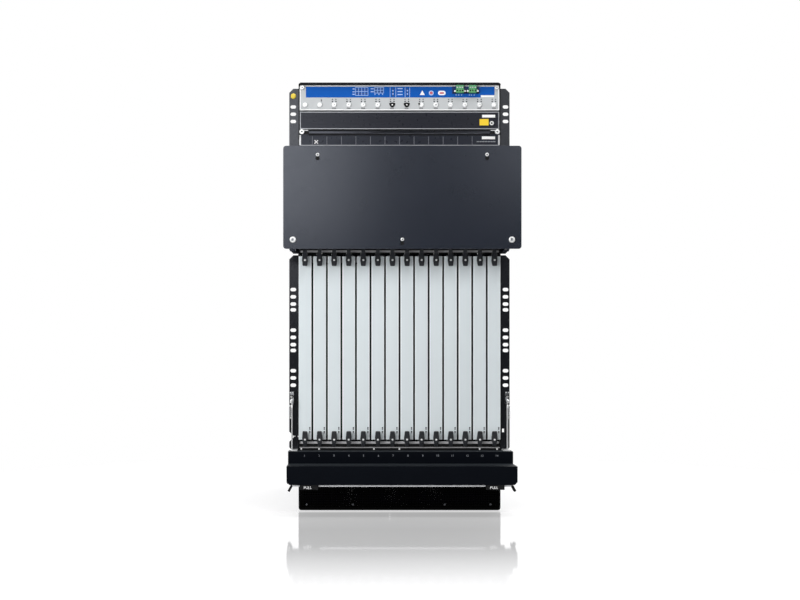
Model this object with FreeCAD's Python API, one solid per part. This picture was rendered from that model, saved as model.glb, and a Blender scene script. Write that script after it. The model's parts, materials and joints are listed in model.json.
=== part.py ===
import FreeCAD, Part
import math
import os

# Modular rack router with fourteen upright cards.
# X runs to the right, Y to the back, Z up. Y = 0 is the rear face of the rack flanges, Z = 0 the base.

# Rack standard
rack_unit = 44.45
units_high = 21
hole_steps = (6.35, 22.225, 38.1)
flange_span = 482.6
flange_width = 20.7
hole_inset = 8.75
slot_long = 12.4
slot_wide = 7.6
slot_corner = 2.3

# Chassis shell
body_depth = 584.0
front_reach = 8.0
sheet = 2.0
corner_radius = 6.0
top_lip_height = 5.2
top_lip_proud = 6.0
panel_gap = 0.3
panel_sheet = 1.5
panel_return = 14.0
shelf_side = 28.6
shelf_air_front = 30.0
shelf_air_back = 270.0
shelf_tail = 12.0
runner_width = 12.0

# Heights of the bays: the lower ones stack up from the base, the upper ones down from the top
intake_top = 66.0
filter_gap = 6.0
filter_height = 14.0
runner_gap = 8.0
tray_height = 34.6
tray_top_gap = 1.4
card_bay_height = 440.0
craft_top_gap = 1.9
craft_panel_height = 55.9
esd_panel_height = 39.0

# Rack flanges: plate, mounting leg on the side wall, and the lengths that each side is made of
flange_sheet = 2.3
flange_leg = 40.0
flange_chamfer = 9.0
flange_top_drop = 10.95
flange_break = 3.3
upper_flange_drop = 11.0
lower_flange_drop = 4.0
short_flange_length = 30.0
short_flange_gap = 4.5
three_slot_units = (6, 8, 10)
one_slot_units = (7, 9)
top_slot_unit = 2
tie_slot_width = 4.4
tie_slot_height = 7.7
tie_slot_inset = 6.5
tie_slot_rise = 42.0

# Swing arms of the cable manager and their brackets on the flanges
arm_inset = 6.6
arm_sheet = 2.6
arm_width = 12.0
arm_length = 106.0
arm_back_gap = 4.1
arm_foot_reach = 28.0
arm_foot_width = 14.0
arm_pin_radius = 2.5
arm_corner = 3.5
pin_clearance = 0.05
side_clearance = 0.5
bracket_sheet = 1.6
bracket_edge = 2.0
bracket_above_pivot = 21.0
bracket_below_pivot = 5.0
bracket_ear_above = 9.0
bracket_ear_below = 7.0
bracket_ear_reach = 7.0

# Cards and their slots
card_count = 14
card_gap = 3.2
card_proud = 2.0
card_sheet = 1.5
card_return = 9.0
board_sheet = 2.0
board_inset = 4.4
board_back = 290.0
groove_depth = 2.3
groove_clearance = 0.3
guide_height = 7.0
guide_front = 8.0

# Card cage sills: upright strip, plate and lip
sill_sheet = 2.0
sill_setback = 4.0
lower_strip_gap = 3.0
upper_strip_gap = 4.5
sill_lip_proud = 3.0
sill_lip_sheet = 1.2
sill_lip_gap = 1.5

# Ejector levers; reach is measured out from the card face, rise along the card away from its end
pivot_reach = 6.0
pivot_to_face = 4.0
lower_pivot_rise = 18.0
upper_pivot_rise = 12.8
lever_pin_radius = 1.2
lever_pin_sides = 6
lever_head_width = 12.2
lever_tail_width = 11.2
lever_heel = 1.2
lever_front = 11.2
lever_tip_reach = 13.0
lever_tip_back = 8.5
lever_head_base = -4.0
lever_head_top = 8.0
lever_tail_start = 12.0
lower_lever_tip = 23.5
upper_lever_tip = 26.5
lever_tip_chamfer = 3.5
lever_web = 2.2
claw_width = 7.0
claw_depth = 5.0
claw_length = 10.0
tongue_width = 4.0
tongue_clearance = 0.3
tongue_hub = 2.6
tongue_root_top = 15.0
tongue_end_clearance = 2.0

# Craft panel, slot buttons and alarm terminals
button_radius = 5.0
button_sides = 10
button_clearance = 0.25
button_proud = 2.5
button_length = 12.0
button_rise = 12.0
craft_board_sheet = 1.6
craft_board_y = 6.0
craft_board_margin = 5.5
craft_post = 8.0
craft_post_inset = 13.3
terminal_count = 2
terminal_inset = 58.9
terminal_pitch = 27.8
terminal_width = 16.5
terminal_drop = 4.15
terminal_height = 14.5
terminal_depth = 8.0
terminal_chamfer = 3.0

# Wrist-strap jack on the dark panel
jack_inset = 16.8
jack_rise = 13.5
jack_ring_radius = 4.5
jack_bore_radius = 2.4
jack_sides = 12
jack_end = 2.0
jack_proud = 2.0
jack_depth = 10.0

# Fan trays
tray_back = 360.0
tray_gap = 0.3
pull_groove_end = 19.3
pull_groove_height = 11.0
pull_groove_depth = 3.5
pull_groove_below_top = 2.0
tray_rib_width = 1.6
tray_rib_proud = 1.2
tray_rib_height = 19.0
tray_rib_count = 12

# Cover plate in front of the exhaust, and its frame
cover_overhang = 6.1
cover_drop = 13.0
cover_height = 214.0
cover_reach = 140.0
cover_sheet = 2.0
cover_corner = 6.0
cover_frame_sheet = 2.0
cover_frame_gap = 2.1
cover_frame_tab = 15.0
cover_frame_low_margin = 7.0
cover_frame_top_margin = 11.0
cover_rail_height = 22.0
keyhole_x = 176.0
keyhole_low_margin = 12.0
keyhole_top_margin = 26.0
keyhole_radius = 4.3
keyhole_sides = 12
keyhole_neck = 5.0
keyhole_neck_length = 12.0

# Cable manager: stepped cover with end plates, lower lip and guides of the releases
manager_sheet = 1.5
manager_step_reach = 59.0
manager_reach = 127.0
manager_upper_wall = 26.0
manager_front_wall = 39.0
manager_lip = 22.0
manager_corner = 6.0
strip_drop = 4.0
strip_setback = 5.0
outlet_depth = 70.0
outlet_rise = 9.0
outlet_height = 20.0
outlet_corner = 7.0
tab_inset = 12.3
tab_splay = 7.0
tab_drop = 13.0
tab_sheet = 1.5

# Releases at the lower edge of the cable manager
release_inset = 46.8
release_width = 39.0
release_drop = 10.0
release_sheet = 1.5
release_gap = 0.3
release_tongue = 21.0
guide_clip_sheet = 1.5
guide_clip_foot = 6.0
guide_clip_depth = 12.0

# Vent grilles: exhaust behind the cover plate, intake at the base, exhaust at the rear
vent_slot_width = 3.2
exhaust_columns = 2
intake_columns = 11
rear_vent_columns = 7
vent_margin_x = 14.0
vent_margin_z = 8.0
rear_vent_side = 22.6
rear_vent_margin = 30.0
rear_vent_lap = 8.0

# Midplane and power supplies
midplane_sheet = 4.0
midplane_side_gap = 4.6
midplane_end_gap = 10.0
supply_count = 4
supply_side = 8.6
supply_gap = 2.0
supply_face_sheet = 2.0
supply_base = 40.0
supply_height = 300.0
supply_lap = 8.0
supply_front_gap = 20.0
supply_tab_sheet = 4.0
supply_tab_height = 60.0
supply_tab_reach = 16.0
supply_block_width = 56.0
supply_block_height = 34.0
supply_block_depth = 14.0
supply_block_rise = 17.0

# Sizes that follow: widths
flange_half = flange_span / 2
hole_x = flange_half - hole_inset
body_half = flange_half - flange_width
inner_half = body_half - sheet
panel_half = inner_half - panel_gap
panel_corner = corner_radius - sheet
card_pitch = (2 * body_half + card_gap) / card_count
card_width = card_pitch - card_gap
card_x = [(i - (card_count - 1) / 2) * card_pitch for i in range(card_count)]
terminal_x = [panel_half - terminal_inset - i * terminal_pitch for i in range(terminal_count)]
arm_x = flange_half - arm_inset
manager_half_width = flange_half
release_x = manager_half_width - release_inset
cover_half_width = flange_half + cover_overhang
cover_frame_x = body_half + flange_sheet + cover_frame_gap
midplane_half_width = inner_half - midplane_side_gap
rear_vent_half_width = inner_half - rear_vent_side
supply_pitch = 2 * (inner_half - supply_side) / supply_count
supply_width = supply_pitch - supply_gap

# Sizes that follow: depths
body_front = -front_reach
card_front = body_front - card_proud
pivot_y = card_front - pivot_reach
sill_strip_y = body_front + sill_setback
sill_lip_y = card_front - sill_lip_proud
midplane_front = board_back + panel_gap
midplane_back = midplane_front + midplane_sheet
supply_front = tray_back + supply_front_gap
cover_front = -cover_reach
arm_pivot_y = -(flange_sheet + bracket_sheet + arm_back_gap + arm_width / 2)
manager_back = arm_pivot_y - arm_width / 2
manager_step_y = -manager_step_reach
manager_front = -manager_reach
outlet_front = manager_back - outlet_depth
strip_y = manager_front + strip_setback

# Sizes that follow: heights
body_height = rack_unit * units_high
filter_base = intake_top + filter_gap
lower_tray_base = filter_base + filter_height + runner_gap
card_floor = lower_tray_base + tray_height + tray_top_gap + sheet
card_roof = card_floor + card_bay_height
craft_panel_top = body_height - sheet - craft_top_gap
craft_panel_base = craft_panel_top - craft_panel_height
esd_panel_top = craft_panel_base - sheet - panel_gap
esd_panel_base = esd_panel_top - esd_panel_height
upper_tray_base = esd_panel_base - tray_top_gap - tray_height
lower_pivot_z = card_floor + lower_pivot_rise
upper_pivot_z = card_roof - upper_pivot_rise
card_face_base = lower_pivot_z + pivot_to_face
card_face_top = upper_pivot_z - pivot_to_face
button_height = craft_panel_base + button_rise
upper_flange_base = card_roof - upper_flange_drop
upper_flange_top = body_height - flange_top_drop
lower_flange_base = card_floor - lower_flange_drop
lower_flange_top = upper_flange_base - flange_break
short_flange_top = lower_flange_base + short_flange_length
lower_flange_base_left = short_flange_top + short_flange_gap
slot_z = [unit * rack_unit + step for unit in three_slot_units for step in hole_steps]
slot_z += [unit * rack_unit + hole_steps[-1] for unit in one_slot_units]
slot_z += [(units_high - top_slot_unit) * rack_unit + step for step in hole_steps]
fastening_z = (min(slot_z), max(slot_z))
cover_base = card_roof - cover_drop
cover_top = cover_base + cover_height
cover_frame_base = cover_base + cover_frame_low_margin
cover_frame_top = cover_top - cover_frame_top_margin
manager_top = card_floor
manager_step_z = manager_top - manager_upper_wall
manager_base = manager_step_z - manager_front_wall
outlet_base = manager_base + outlet_rise
arm_pivot_z = manager_top + arm_length
midplane_base = card_floor + midplane_end_gap
midplane_top = card_roof - midplane_end_gap
rear_vent_base = card_roof + rear_vent_margin
rear_vent_top = upper_tray_base - rear_vent_margin


def vec(x, y, z):
    return FreeCAD.Vector(x, y, z)


def box(x0, x1, y0, y1, z0, z1):
    return Part.makeBox(x1 - x0, y1 - y0, z1 - z0, vec(x0, y0, z0))


def fuse(shapes):
    joined = shapes[0].multiFuse(shapes[1:])
    return joined.removeSplitter()


def prism(points, along):
    face = Part.Face(Part.makePolygon(points + [points[0]]))
    return face.extrude(along)


def side_prism(outline, x0, x1):
    return prism([vec(x0, y, z) for y, z in outline], vec(x1 - x0, 0, 0))


def front_prism(outline, y0, y1):
    return prism([vec(x, y0, z) for x, z in outline], vec(0, y1 - y0, 0))


def rounded_box(x0, x1, y0, y1, z0, z1, radius):
    block = box(x0, x1, y0, y1, z0, z1)
    return block.makeFillet(radius, [e for e in block.Edges if abs(e.tangentAt(e.FirstParameter).y) > 0.9])


def mirrored(shape):
    return shape.mirror(vec(0, 0, 0), vec(1, 0, 0))


# Round bar along Y with flat sides, for small pieces that repeat
def many_sided_y(radius, sides, x, y0, y1, z):
    angles = [2 * math.pi * (i + 0.5) / sides for i in range(sides)]
    return front_prism([(x + radius * math.cos(a), z + radius * math.sin(a)) for a in angles], y0, y1)


def many_sided_x(radius, sides, x0, x1, y, z):
    angles = [2 * math.pi * (i + 0.5) / sides for i in range(sides)]
    return side_prism([(y + radius * math.cos(a), z + radius * math.sin(a)) for a in angles], x0, x1)


def cylinder_y(radius, x, y0, y1, z):
    return Part.makeCylinder(radius, y1 - y0, vec(x, y0, z), vec(0, 1, 0))


def cylinder_x(radius, x0, x1, y, z):
    return Part.makeCylinder(radius, x1 - x0, vec(x0, y, z), vec(1, 0, 0))


def save(name, solids):
    shape = solids[0] if len(solids) == 1 else Part.makeCompound(solids)
    shape.exportStep(f"parts/{name}.step")


# Front panel folded back along its four edges
def folded_panel(z0, z1):
    front = box(-panel_half, panel_half, body_front, body_front + panel_return, z0, z1)
    inside = box(-panel_half + panel_sheet, panel_half - panel_sheet, body_front + panel_sheet,
                 body_front + panel_return, z0 + panel_sheet, z1 - panel_sheet)
    return front.cut(inside)


# Cuts both corners of a panel where the shell's own corners are rounded
def clear_corners(panel, z_edge, rise):
    tip = panel_half - panel_corner
    for side in (-1, 1):
        outline = [(side * panel_half, z_edge), (side * tip, z_edge),
                   (side * panel_half, z_edge + rise * panel_corner)]
        panel = panel.cut(front_prism(outline, body_front, body_front + panel_return))
    return panel


# Shelf with a large air opening
def air_shelf(z0, back):
    shelf = box(-inner_half, inner_half, body_front, back, z0, z0 + sheet)
    air_half = inner_half - shelf_side
    air = box(-air_half, air_half, shelf_air_front, shelf_air_back, z0, z0 + sheet)
    return shelf.cut(air)


# Pair of runners on the side walls under a sliding tray
def runners(z_top):
    runner = box(inner_half - runner_width, inner_half, 0, tray_back, z_top - sheet, z_top)
    return [runner, mirrored(runner)]


def chassis_shell():
    outer = rounded_box(-body_half, body_half, body_front, body_depth, 0, body_height, corner_radius)
    inner = rounded_box(-inner_half, inner_half, body_front, body_depth - sheet, sheet, body_height - sheet,
                        corner_radius - sheet)
    shell = outer.cut(inner)
    rear = body_depth - sheet
    shelves = [air_shelf(card_floor - sheet, supply_front - shelf_tail), air_shelf(card_roof, rear),
               air_shelf(upper_tray_base - tray_gap - sheet, rear)]
    stop = box(midplane_half_width - runner_width, inner_half, midplane_back, midplane_back + sheet,
               midplane_base, midplane_top)
    inside = shelves + runners(lower_tray_base - tray_gap) + runners(filter_base - tray_gap)
    lip_front = body_front - top_lip_proud
    lip = rounded_box(-body_half, body_half, lip_front, body_front, 0, body_height, corner_radius)
    lip_base = body_height - top_lip_height
    lip = lip.common(box(-body_half, body_half, lip_front, body_front, lip_base, body_height))
    shell = fuse([shell, lip] + inside + [stop, mirrored(stop)])
    supply_half = supply_pitch * supply_count / 2 - supply_lap
    bay = box(-supply_half, supply_half, body_depth - sheet, body_depth,
              supply_base + supply_lap, supply_base + supply_height - supply_lap)
    vent = box(-rear_vent_half_width, rear_vent_half_width, body_depth - sheet, body_depth,
               rear_vent_base, rear_vent_top)
    return shell.cut(bay).cut(vent)


# One length of rack flange on the right side: slotted plate with cut corners and a leg on the side wall
def flange_length(z0, z1, cut_low=True, cut_high=True):
    low = flange_chamfer if cut_low else 0
    high = flange_chamfer if cut_high else 0
    outline = [(body_half, z0), (flange_half - low, z0)]
    if low:
        outline.append((flange_half, z0 + low))
    outline.append((flange_half, z1 - high))
    if high:
        outline.append((flange_half - high, z1))
    outline.append((body_half, z1))
    plate = front_prism(outline, -flange_sheet, 0)
    leg = box(body_half, body_half + flange_sheet, -flange_sheet, flange_leg, z0, z1)
    flange = fuse([plate, leg])
    for z in slot_z:
        if z0 < z - slot_wide and z + slot_wide < z1:
            flange = flange.cut(fastening_slot(z) if z in fastening_z else spare_slot(z))
    return flange


# Slot with cut corners
def spare_slot(z):
    half_long, half_wide = slot_long / 2, slot_wide / 2
    quarter = [(half_long, half_wide - slot_corner), (half_long - slot_corner, half_wide)]
    top = quarter + [(-across, up) for across, up in reversed(quarter)]
    outline = top + [(across, -up) for across, up in reversed(top)]
    return front_prism([(hole_x + across, z + up) for across, up in outline], -flange_sheet, 0)


# Slot with round ends, for the screws that hold the router in a rack
def fastening_slot(z):
    straight = (slot_long - slot_wide) / 2
    half_wide = slot_wide / 2
    slot = box(hole_x - straight, hole_x + straight, -flange_sheet, 0, z - half_wide, z + half_wide)
    ends = [cylinder_y(half_wide, hole_x + side * straight, -flange_sheet, 0, z) for side in (-1, 1)]
    return fuse([slot] + ends)


# Upright slot for a cable tie, in the right flange only
def tie_slot():
    x0 = body_half + tie_slot_inset - tie_slot_width / 2
    z0 = card_floor + tie_slot_rise - tie_slot_height / 2
    return box(x0, x0 + tie_slot_width, -flange_sheet, 0, z0, z0 + tie_slot_height)


# Bracket with the pivot pin of a swing arm, riveted to the right flange
def arm_bracket():
    ear_x = arm_x - arm_sheet / 2 - side_clearance - bracket_sheet
    base_low = arm_pivot_z - bracket_below_pivot
    base = box(ear_x, flange_half - bracket_edge, -flange_sheet - bracket_sheet, -flange_sheet,
               base_low, arm_pivot_z + bracket_above_pivot)
    ear_low = arm_pivot_z - bracket_ear_below
    ear_top = arm_pivot_z + bracket_ear_above
    ear_front = arm_pivot_y - bracket_ear_reach
    ear = side_prism([(-flange_sheet, ear_top), (-flange_sheet, base_low), (arm_pivot_y, ear_low),
                      (ear_front, arm_pivot_z), (arm_pivot_y, ear_top)], ear_x, ear_x + bracket_sheet)
    pin_end = arm_x + arm_sheet / 2 + side_clearance
    pin = cylinder_x(arm_pin_radius, ear_x, pin_end, arm_pivot_y, arm_pivot_z)
    return [base, ear, pin]


def rack_flanges():
    upper = flange_length(upper_flange_base, upper_flange_top)
    right_lower = flange_length(lower_flange_base, lower_flange_top)
    left_lower = flange_length(lower_flange_base_left, lower_flange_top)
    left_short = flange_length(lower_flange_base, short_flange_top)
    bracket = arm_bracket()
    right = fuse([right_lower.cut(tie_slot())] + bracket)
    left = fuse([left_lower] + bracket)
    return [upper, right, mirrored(upper), mirrored(left), mirrored(left_short)]


# Sill and grooved guide plate at one end of the cards; rise points from the plate towards the cards
def cage_end(z_plate, rise, pivot_rise, strip_gap):
    strip_height = pivot_rise + pivot_to_face - strip_gap
    lip_height = pivot_rise - claw_length - sill_lip_gap

    def level(height):
        return z_plate + rise * height

    def slab(x0, x1, y0, y1, h0, h1):
        return box(x0, x1, y0, y1, min(level(h0), level(h1)), max(level(h0), level(h1)))

    strip = slab(-panel_half, panel_half, sill_strip_y, sill_strip_y + sill_sheet, 0, strip_height)
    plate = slab(-panel_half, panel_half, sill_lip_y, guide_front, 0, sill_sheet)
    lip = slab(-panel_half, panel_half, sill_lip_y, sill_lip_y + sill_lip_sheet, 0, lip_height)
    guide = slab(-panel_half, panel_half, guide_front, board_back, 0, guide_height)
    cage = fuse([strip, plate, lip, guide])
    for x in card_x:
        board = board_left(x)
        groove = slab(board - groove_clearance, board + board_sheet + groove_clearance,
                      guide_front, board_back, guide_height - groove_depth, guide_height)
        cage = cage.cut(groove)
    return cage


def board_left(x):
    return x - card_width / 2 + board_inset


def card_cage():
    lower = cage_end(card_floor, 1, lower_pivot_rise, lower_strip_gap)
    upper = cage_end(card_roof, -1, upper_pivot_rise, upper_strip_gap)
    return [lower, upper]


# Tongue with an open notch for the lever pin; (reach, rise) from the card face and the pivot
def tongue_outline():
    small = tongue_hub * math.tan(math.pi / 8)
    half = lever_pin_radius + pin_clearance
    r = pivot_reach
    front = r + tongue_hub
    return [(0, tongue_root_top), (0, pivot_to_face), (r - tongue_hub, -tongue_hub), (r + small, -tongue_hub),
            (front + small - half, -half), (r - half, -half), (r - half, half), (front, half)]


def tongue(x, pivot_z, rise):
    outline = [(card_front - reach, pivot_z + rise * up) for reach, up in tongue_outline()]
    return side_prism(outline, x - tongue_width / 2, x + tongue_width / 2)


# Folded face, whose returns stay between the chassis walls, and a board behind it
def line_card(x):
    left, right = x - card_width / 2, x + card_width / 2
    rim_left, rim_right = max(left, -panel_half), min(right, panel_half)
    rim_back = card_front + card_return
    face = box(left, right, card_front, card_front + card_sheet, card_face_base, card_face_top)
    rim = box(rim_left, rim_right, card_front, rim_back, card_face_base, card_face_top)
    hollow = box(rim_left + card_sheet, rim_right - card_sheet, card_front + card_sheet, rim_back,
                 card_face_base + card_sheet, card_face_top - card_sheet)
    board_base = card_floor + guide_height - groove_depth + groove_clearance
    board_top = card_roof - guide_height + groove_depth - groove_clearance
    board_front = card_front + card_sheet
    outline = [(board_front, card_face_base), (guide_front, card_face_base), (guide_front, board_base),
               (board_back, board_base), (board_back, board_top), (guide_front, board_top),
               (guide_front, card_face_top), (board_front, card_face_top)]
    board = side_prism(outline, board_left(x), board_left(x) + board_sheet)
    tongues = [tongue(x, lower_pivot_z, 1), tongue(x, upper_pivot_z, -1)]
    return fuse([face, rim.cut(hollow), board] + tongues)


# Lever seen from its side and from the front; rise is 1 where the tail points up, -1 where it points down
def ejector(x, pivot_z, rise, tip):
    side = [(lever_heel, lever_head_base), (lever_front, lever_head_base), (lever_front, lever_tail_start),
            (lever_tip_reach, tip), (lever_tip_back, tip), (lever_heel, lever_tail_start)]
    half_head = lever_head_width / 2
    half_tail = lever_tail_width / 2
    half_tip = half_tail - lever_tip_chamfer
    right = [(half_head, lever_head_base), (half_head, lever_head_top),
             (half_tail, tip - lever_tip_chamfer), (half_tip, tip)]
    front = right + [(-across, up) for across, up in reversed(right)]
    side_outline = [(card_front - reach, pivot_z + rise * up) for reach, up in side]
    front_outline = [(x + across, pivot_z + rise * up) for across, up in front]
    body = side_prism(side_outline, x - half_head, x + half_head)
    body = body.common(front_prism(front_outline, card_front - lever_tip_reach, card_front))
    claw = lever_box(x, pivot_z, rise, claw_width, pivot_reach - claw_depth / 2,
                     pivot_reach + claw_depth / 2, -claw_length, lever_head_base)
    slot_width = tongue_width + 2 * tongue_clearance
    slot = lever_box(x, pivot_z, rise, slot_width, 0, lever_front - lever_web, lever_head_base,
                     tongue_root_top + tongue_end_clearance)
    pin = many_sided_x(lever_pin_radius, lever_pin_sides, x - half_tail, x + half_tail, pivot_y, pivot_z)
    return fuse([body.cut(slot), claw, pin])


def lever_box(x, pivot_z, rise, width, reach0, reach1, up0, up1):
    ends = sorted((pivot_z + rise * up0, pivot_z + rise * up1))
    return box(x - width / 2, x + width / 2, card_front - reach1, card_front - reach0, ends[0], ends[1])


def slot_button(x):
    front = body_front - button_proud
    return many_sided_y(button_radius, button_sides, x, front, front + button_length, button_height)


def craft_panel():
    panel = clear_corners(folded_panel(craft_panel_base, craft_panel_top), craft_panel_top, -1)
    for x in card_x:
        hole = many_sided_y(button_radius + button_clearance, button_sides, x, body_front,
                            body_front + panel_sheet, button_height)
        panel = panel.cut(hole)
    board_half = panel_half - panel_sheet - craft_board_margin
    board_top = craft_panel_top - craft_board_margin
    board = box(-board_half, board_half, craft_board_y, craft_board_y + craft_board_sheet,
                craft_panel_base + craft_board_margin, board_top)
    posts = []
    for side in (-1, 1):
        x = side * (panel_half - craft_post_inset)
        posts.append(box(x - craft_post / 2, x + craft_post / 2, body_front + panel_sheet, craft_board_y,
                         board_top - craft_post, board_top))
    return fuse([panel, board] + posts)


def alarm_terminal(x):
    z1 = craft_panel_top - terminal_drop
    z0 = z1 - terminal_height
    front = body_front - terminal_depth
    outline = [(body_front, z0), (front, z0), (front, z1 - terminal_chamfer),
               (front + terminal_chamfer, z1), (body_front, z1)]
    return side_prism(outline, x - terminal_width / 2, x + terminal_width / 2)


def esd_panel():
    panel = folded_panel(esd_panel_base, esd_panel_top)
    x, z = panel_half - jack_inset, esd_panel_base + jack_rise
    ring_front, ring_back = body_front - jack_proud, body_front + jack_depth
    ring = many_sided_y(jack_ring_radius, jack_sides, x, ring_front, ring_back, z)
    bore = many_sided_y(jack_bore_radius, jack_sides, x, ring_front, ring_back - jack_end, z)
    return fuse([panel, ring]).cut(bore)


def fan_tray(z0, rib_count):
    z1 = z0 + tray_height
    tray = box(-panel_half, panel_half, body_front, tray_back, z0, z1)
    groove_top = z1 - pull_groove_below_top
    groove_half = panel_half - pull_groove_end
    groove = box(-groove_half, groove_half, body_front, body_front + pull_groove_depth,
                 groove_top - pull_groove_height, groove_top)
    ribs = []
    for i in range(rib_count):
        x = card_x[i] + card_pitch / 2
        ribs.append(box(x - tray_rib_width / 2, x + tray_rib_width / 2, body_front - tray_rib_proud,
                        body_front, z0 + panel_sheet, z0 + panel_sheet + tray_rib_height))
    return fuse([tray.cut(groove)] + ribs)


def air_filter():
    return box(-panel_half, panel_half, body_front, tray_back, filter_base, filter_base + filter_height)


# Flat grille of upright slots
def grille(half_width, y0, z0, z1, columns):
    plate = box(-half_width, half_width, y0, y0 + panel_sheet, z0, z1)
    pitch_x = (2 * half_width - 2 * vent_margin_x) / columns
    slots = []
    for column in range(columns):
        x = -half_width + vent_margin_x + (column + 0.5) * pitch_x
        slots.append(box(x - vent_slot_width / 2, x + vent_slot_width / 2, y0, y0 + panel_sheet,
                         z0 + vent_margin_z, z1 - vent_margin_z))
    return plate.cut(Part.makeCompound(slots))


def vent_grilles():
    exhaust_top = upper_tray_base - tray_gap - sheet - panel_gap
    exhaust = grille(panel_half, body_front, card_roof + sheet + panel_gap, exhaust_top, exhaust_columns)
    intake_base = sheet + panel_gap
    intake = grille(panel_half, body_front, intake_base, intake_top, intake_columns)
    intake = clear_corners(intake, intake_base, 1)
    rear = grille(rear_vent_half_width + rear_vent_lap, body_depth, rear_vent_base - rear_vent_lap,
                  rear_vent_top + rear_vent_lap, rear_vent_columns)
    return [exhaust, intake, rear]


# Keyhole: round end below, narrow neck above
def keyhole(x, z):
    back = cover_front + cover_sheet
    neck = box(x - keyhole_neck / 2, x + keyhole_neck / 2, cover_front, back, z, z + keyhole_neck_length)
    return fuse([many_sided_y(keyhole_radius, keyhole_sides, x, cover_front, back, z), neck])


def cover_plate():
    plate = rounded_box(-cover_half_width, cover_half_width, cover_front, cover_front + cover_sheet,
                        cover_base, cover_top, cover_corner)
    high, low = cover_top - keyhole_top_margin, cover_base + keyhole_low_margin
    for x, z in ((-keyhole_x, high), (keyhole_x, high), (0, low)):
        plate = plate.cut(keyhole(x, z))
    return plate


# Open frame between the rack flanges and the cover plate
def cover_frame():
    front = cover_front + cover_sheet
    back = -flange_sheet
    t = cover_frame_sheet
    x0, x1 = cover_frame_x, cover_frame_x + t
    side = box(x0, x1, front, back, cover_frame_base, cover_frame_top)
    front_tab = box(x0, x1 + cover_frame_tab, front, front + t, cover_frame_base, cover_frame_top)
    back_tab = box(x0, x1 + cover_frame_tab - t, back - t, back, cover_frame_base, cover_frame_top)
    half = [side, front_tab, back_tab]
    rails = [box(-x0, x0, front, front + t, cover_frame_base, cover_frame_base + cover_rail_height),
             box(-x0, x0, front, front + t, cover_frame_top - cover_rail_height, cover_frame_top)]
    return fuse(half + [mirrored(s) for s in half] + rails)


# Stepped cover of the cable manager, seen from its side
def manager_sheet_outline():
    t = manager_sheet
    outer = [(manager_back, manager_top), (manager_step_y, manager_top), (manager_step_y, manager_step_z),
             (manager_front, manager_step_z), (manager_front, manager_base),
             (manager_front + manager_lip, manager_base)]
    inner = [(manager_front + manager_lip, manager_base + t), (manager_front + t, manager_base + t),
             (manager_front + t, manager_step_z - t), (manager_step_y + t, manager_step_z - t),
             (manager_step_y + t, manager_top - t), (manager_back, manager_top - t)]
    return outer + inner


def manager_end():
    outline = [(manager_back, manager_top), (manager_step_y, manager_top), (manager_step_y, manager_step_z),
               (manager_front, manager_step_z), (manager_front, manager_base), (manager_back, manager_base)]
    x0, x1 = manager_half_width - manager_sheet, manager_half_width
    plate = side_prism(outline, x0, x1)
    outlet_top = outlet_base + outlet_height
    bend = outlet_front + outlet_corner
    outlet = side_prism([(manager_back, outlet_base), (bend, outlet_base),
                         (outlet_front, outlet_base + outlet_corner),
                         (outlet_front, outlet_top - outlet_corner), (bend, outlet_top),
                         (manager_back, outlet_top)], x0, x1)
    return plate.cut(outlet)


# Clip that holds one edge of a release tongue; side is 1 towards +X
def release_clip(x, side):
    inner = x + side * (release_width / 2 + release_gap)
    outer = inner + side * guide_clip_sheet
    foot = inner - side * guide_clip_foot
    y1 = manager_front + manager_lip
    y0 = y1 - guide_clip_depth
    foot_top = manager_base - 2 * release_gap - release_sheet
    foot_base = foot_top - guide_clip_sheet
    wall = box(min(inner, outer), max(inner, outer), y0, y1, foot_base, manager_base)
    shelf = box(min(foot, outer), max(foot, outer), y0, y1, foot_base, foot_top)
    return [wall, shelf]


def cable_manager():
    cover = side_prism(manager_sheet_outline(), -manager_half_width, manager_half_width)
    end = manager_end()
    strip_end = release_x - release_width / 2 - guide_clip_sheet - 2 * release_gap
    strip = box(-strip_end, strip_end, strip_y, strip_y + manager_sheet,
                manager_base - strip_drop, manager_base)
    tab_foot = manager_half_width - tab_inset
    tab_tip = tab_foot + tab_splay
    tab = front_prism([(tab_foot, manager_base), (tab_foot + tab_sheet, manager_base),
                       (tab_tip + tab_sheet, manager_base - tab_drop), (tab_tip, manager_base - tab_drop)],
                      strip_y, manager_front + manager_lip)
    clips = release_clip(release_x, -1) + release_clip(release_x, 1)
    clips += [mirrored(s) for s in clips]
    manager = fuse([cover, end, mirrored(end), strip, tab, mirrored(tab)] + clips)
    edge = manager_half_width
    corner = front_prism([(edge, manager_base), (edge, manager_base + manager_corner),
                          (edge - manager_corner, manager_base)], manager_front, manager_front + manager_lip)
    return manager.cut(corner).cut(mirrored(corner))


def support_arm():
    x0, x1 = arm_x - arm_sheet / 2, arm_x + arm_sheet / 2
    half = arm_width / 2
    back = arm_pivot_y + half
    front = arm_pivot_y - half
    top = arm_pivot_z + half
    link = side_prism([(front, manager_top), (front, top - arm_corner), (front + arm_corner, top),
                       (back - arm_corner, top), (back, top - arm_corner), (back, manager_top)], x0, x1)
    foot = box(x1 - arm_foot_width, x1, manager_back - arm_foot_reach, back,
               manager_top, manager_top + arm_sheet)
    bore = cylinder_x(arm_pin_radius + pin_clearance, x0, x1, arm_pivot_y, arm_pivot_z)
    return fuse([link, foot]).cut(bore)


# Release: grip below the front wall and a tongue that slides under the lower lip
def pull_release(x):
    top = manager_base - release_gap
    x0, x1 = x - release_width / 2, x + release_width / 2
    grip = box(x0, x1, manager_front, manager_front + release_sheet, manager_base - release_drop, top)
    tongue_plate = box(x0, x1, manager_front, manager_front + release_tongue, top - release_sheet, top)
    return fuse([grip, tongue_plate])


def midplane():
    return box(-midplane_half_width, midplane_half_width, midplane_front, midplane_back,
               midplane_base, midplane_top)


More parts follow.
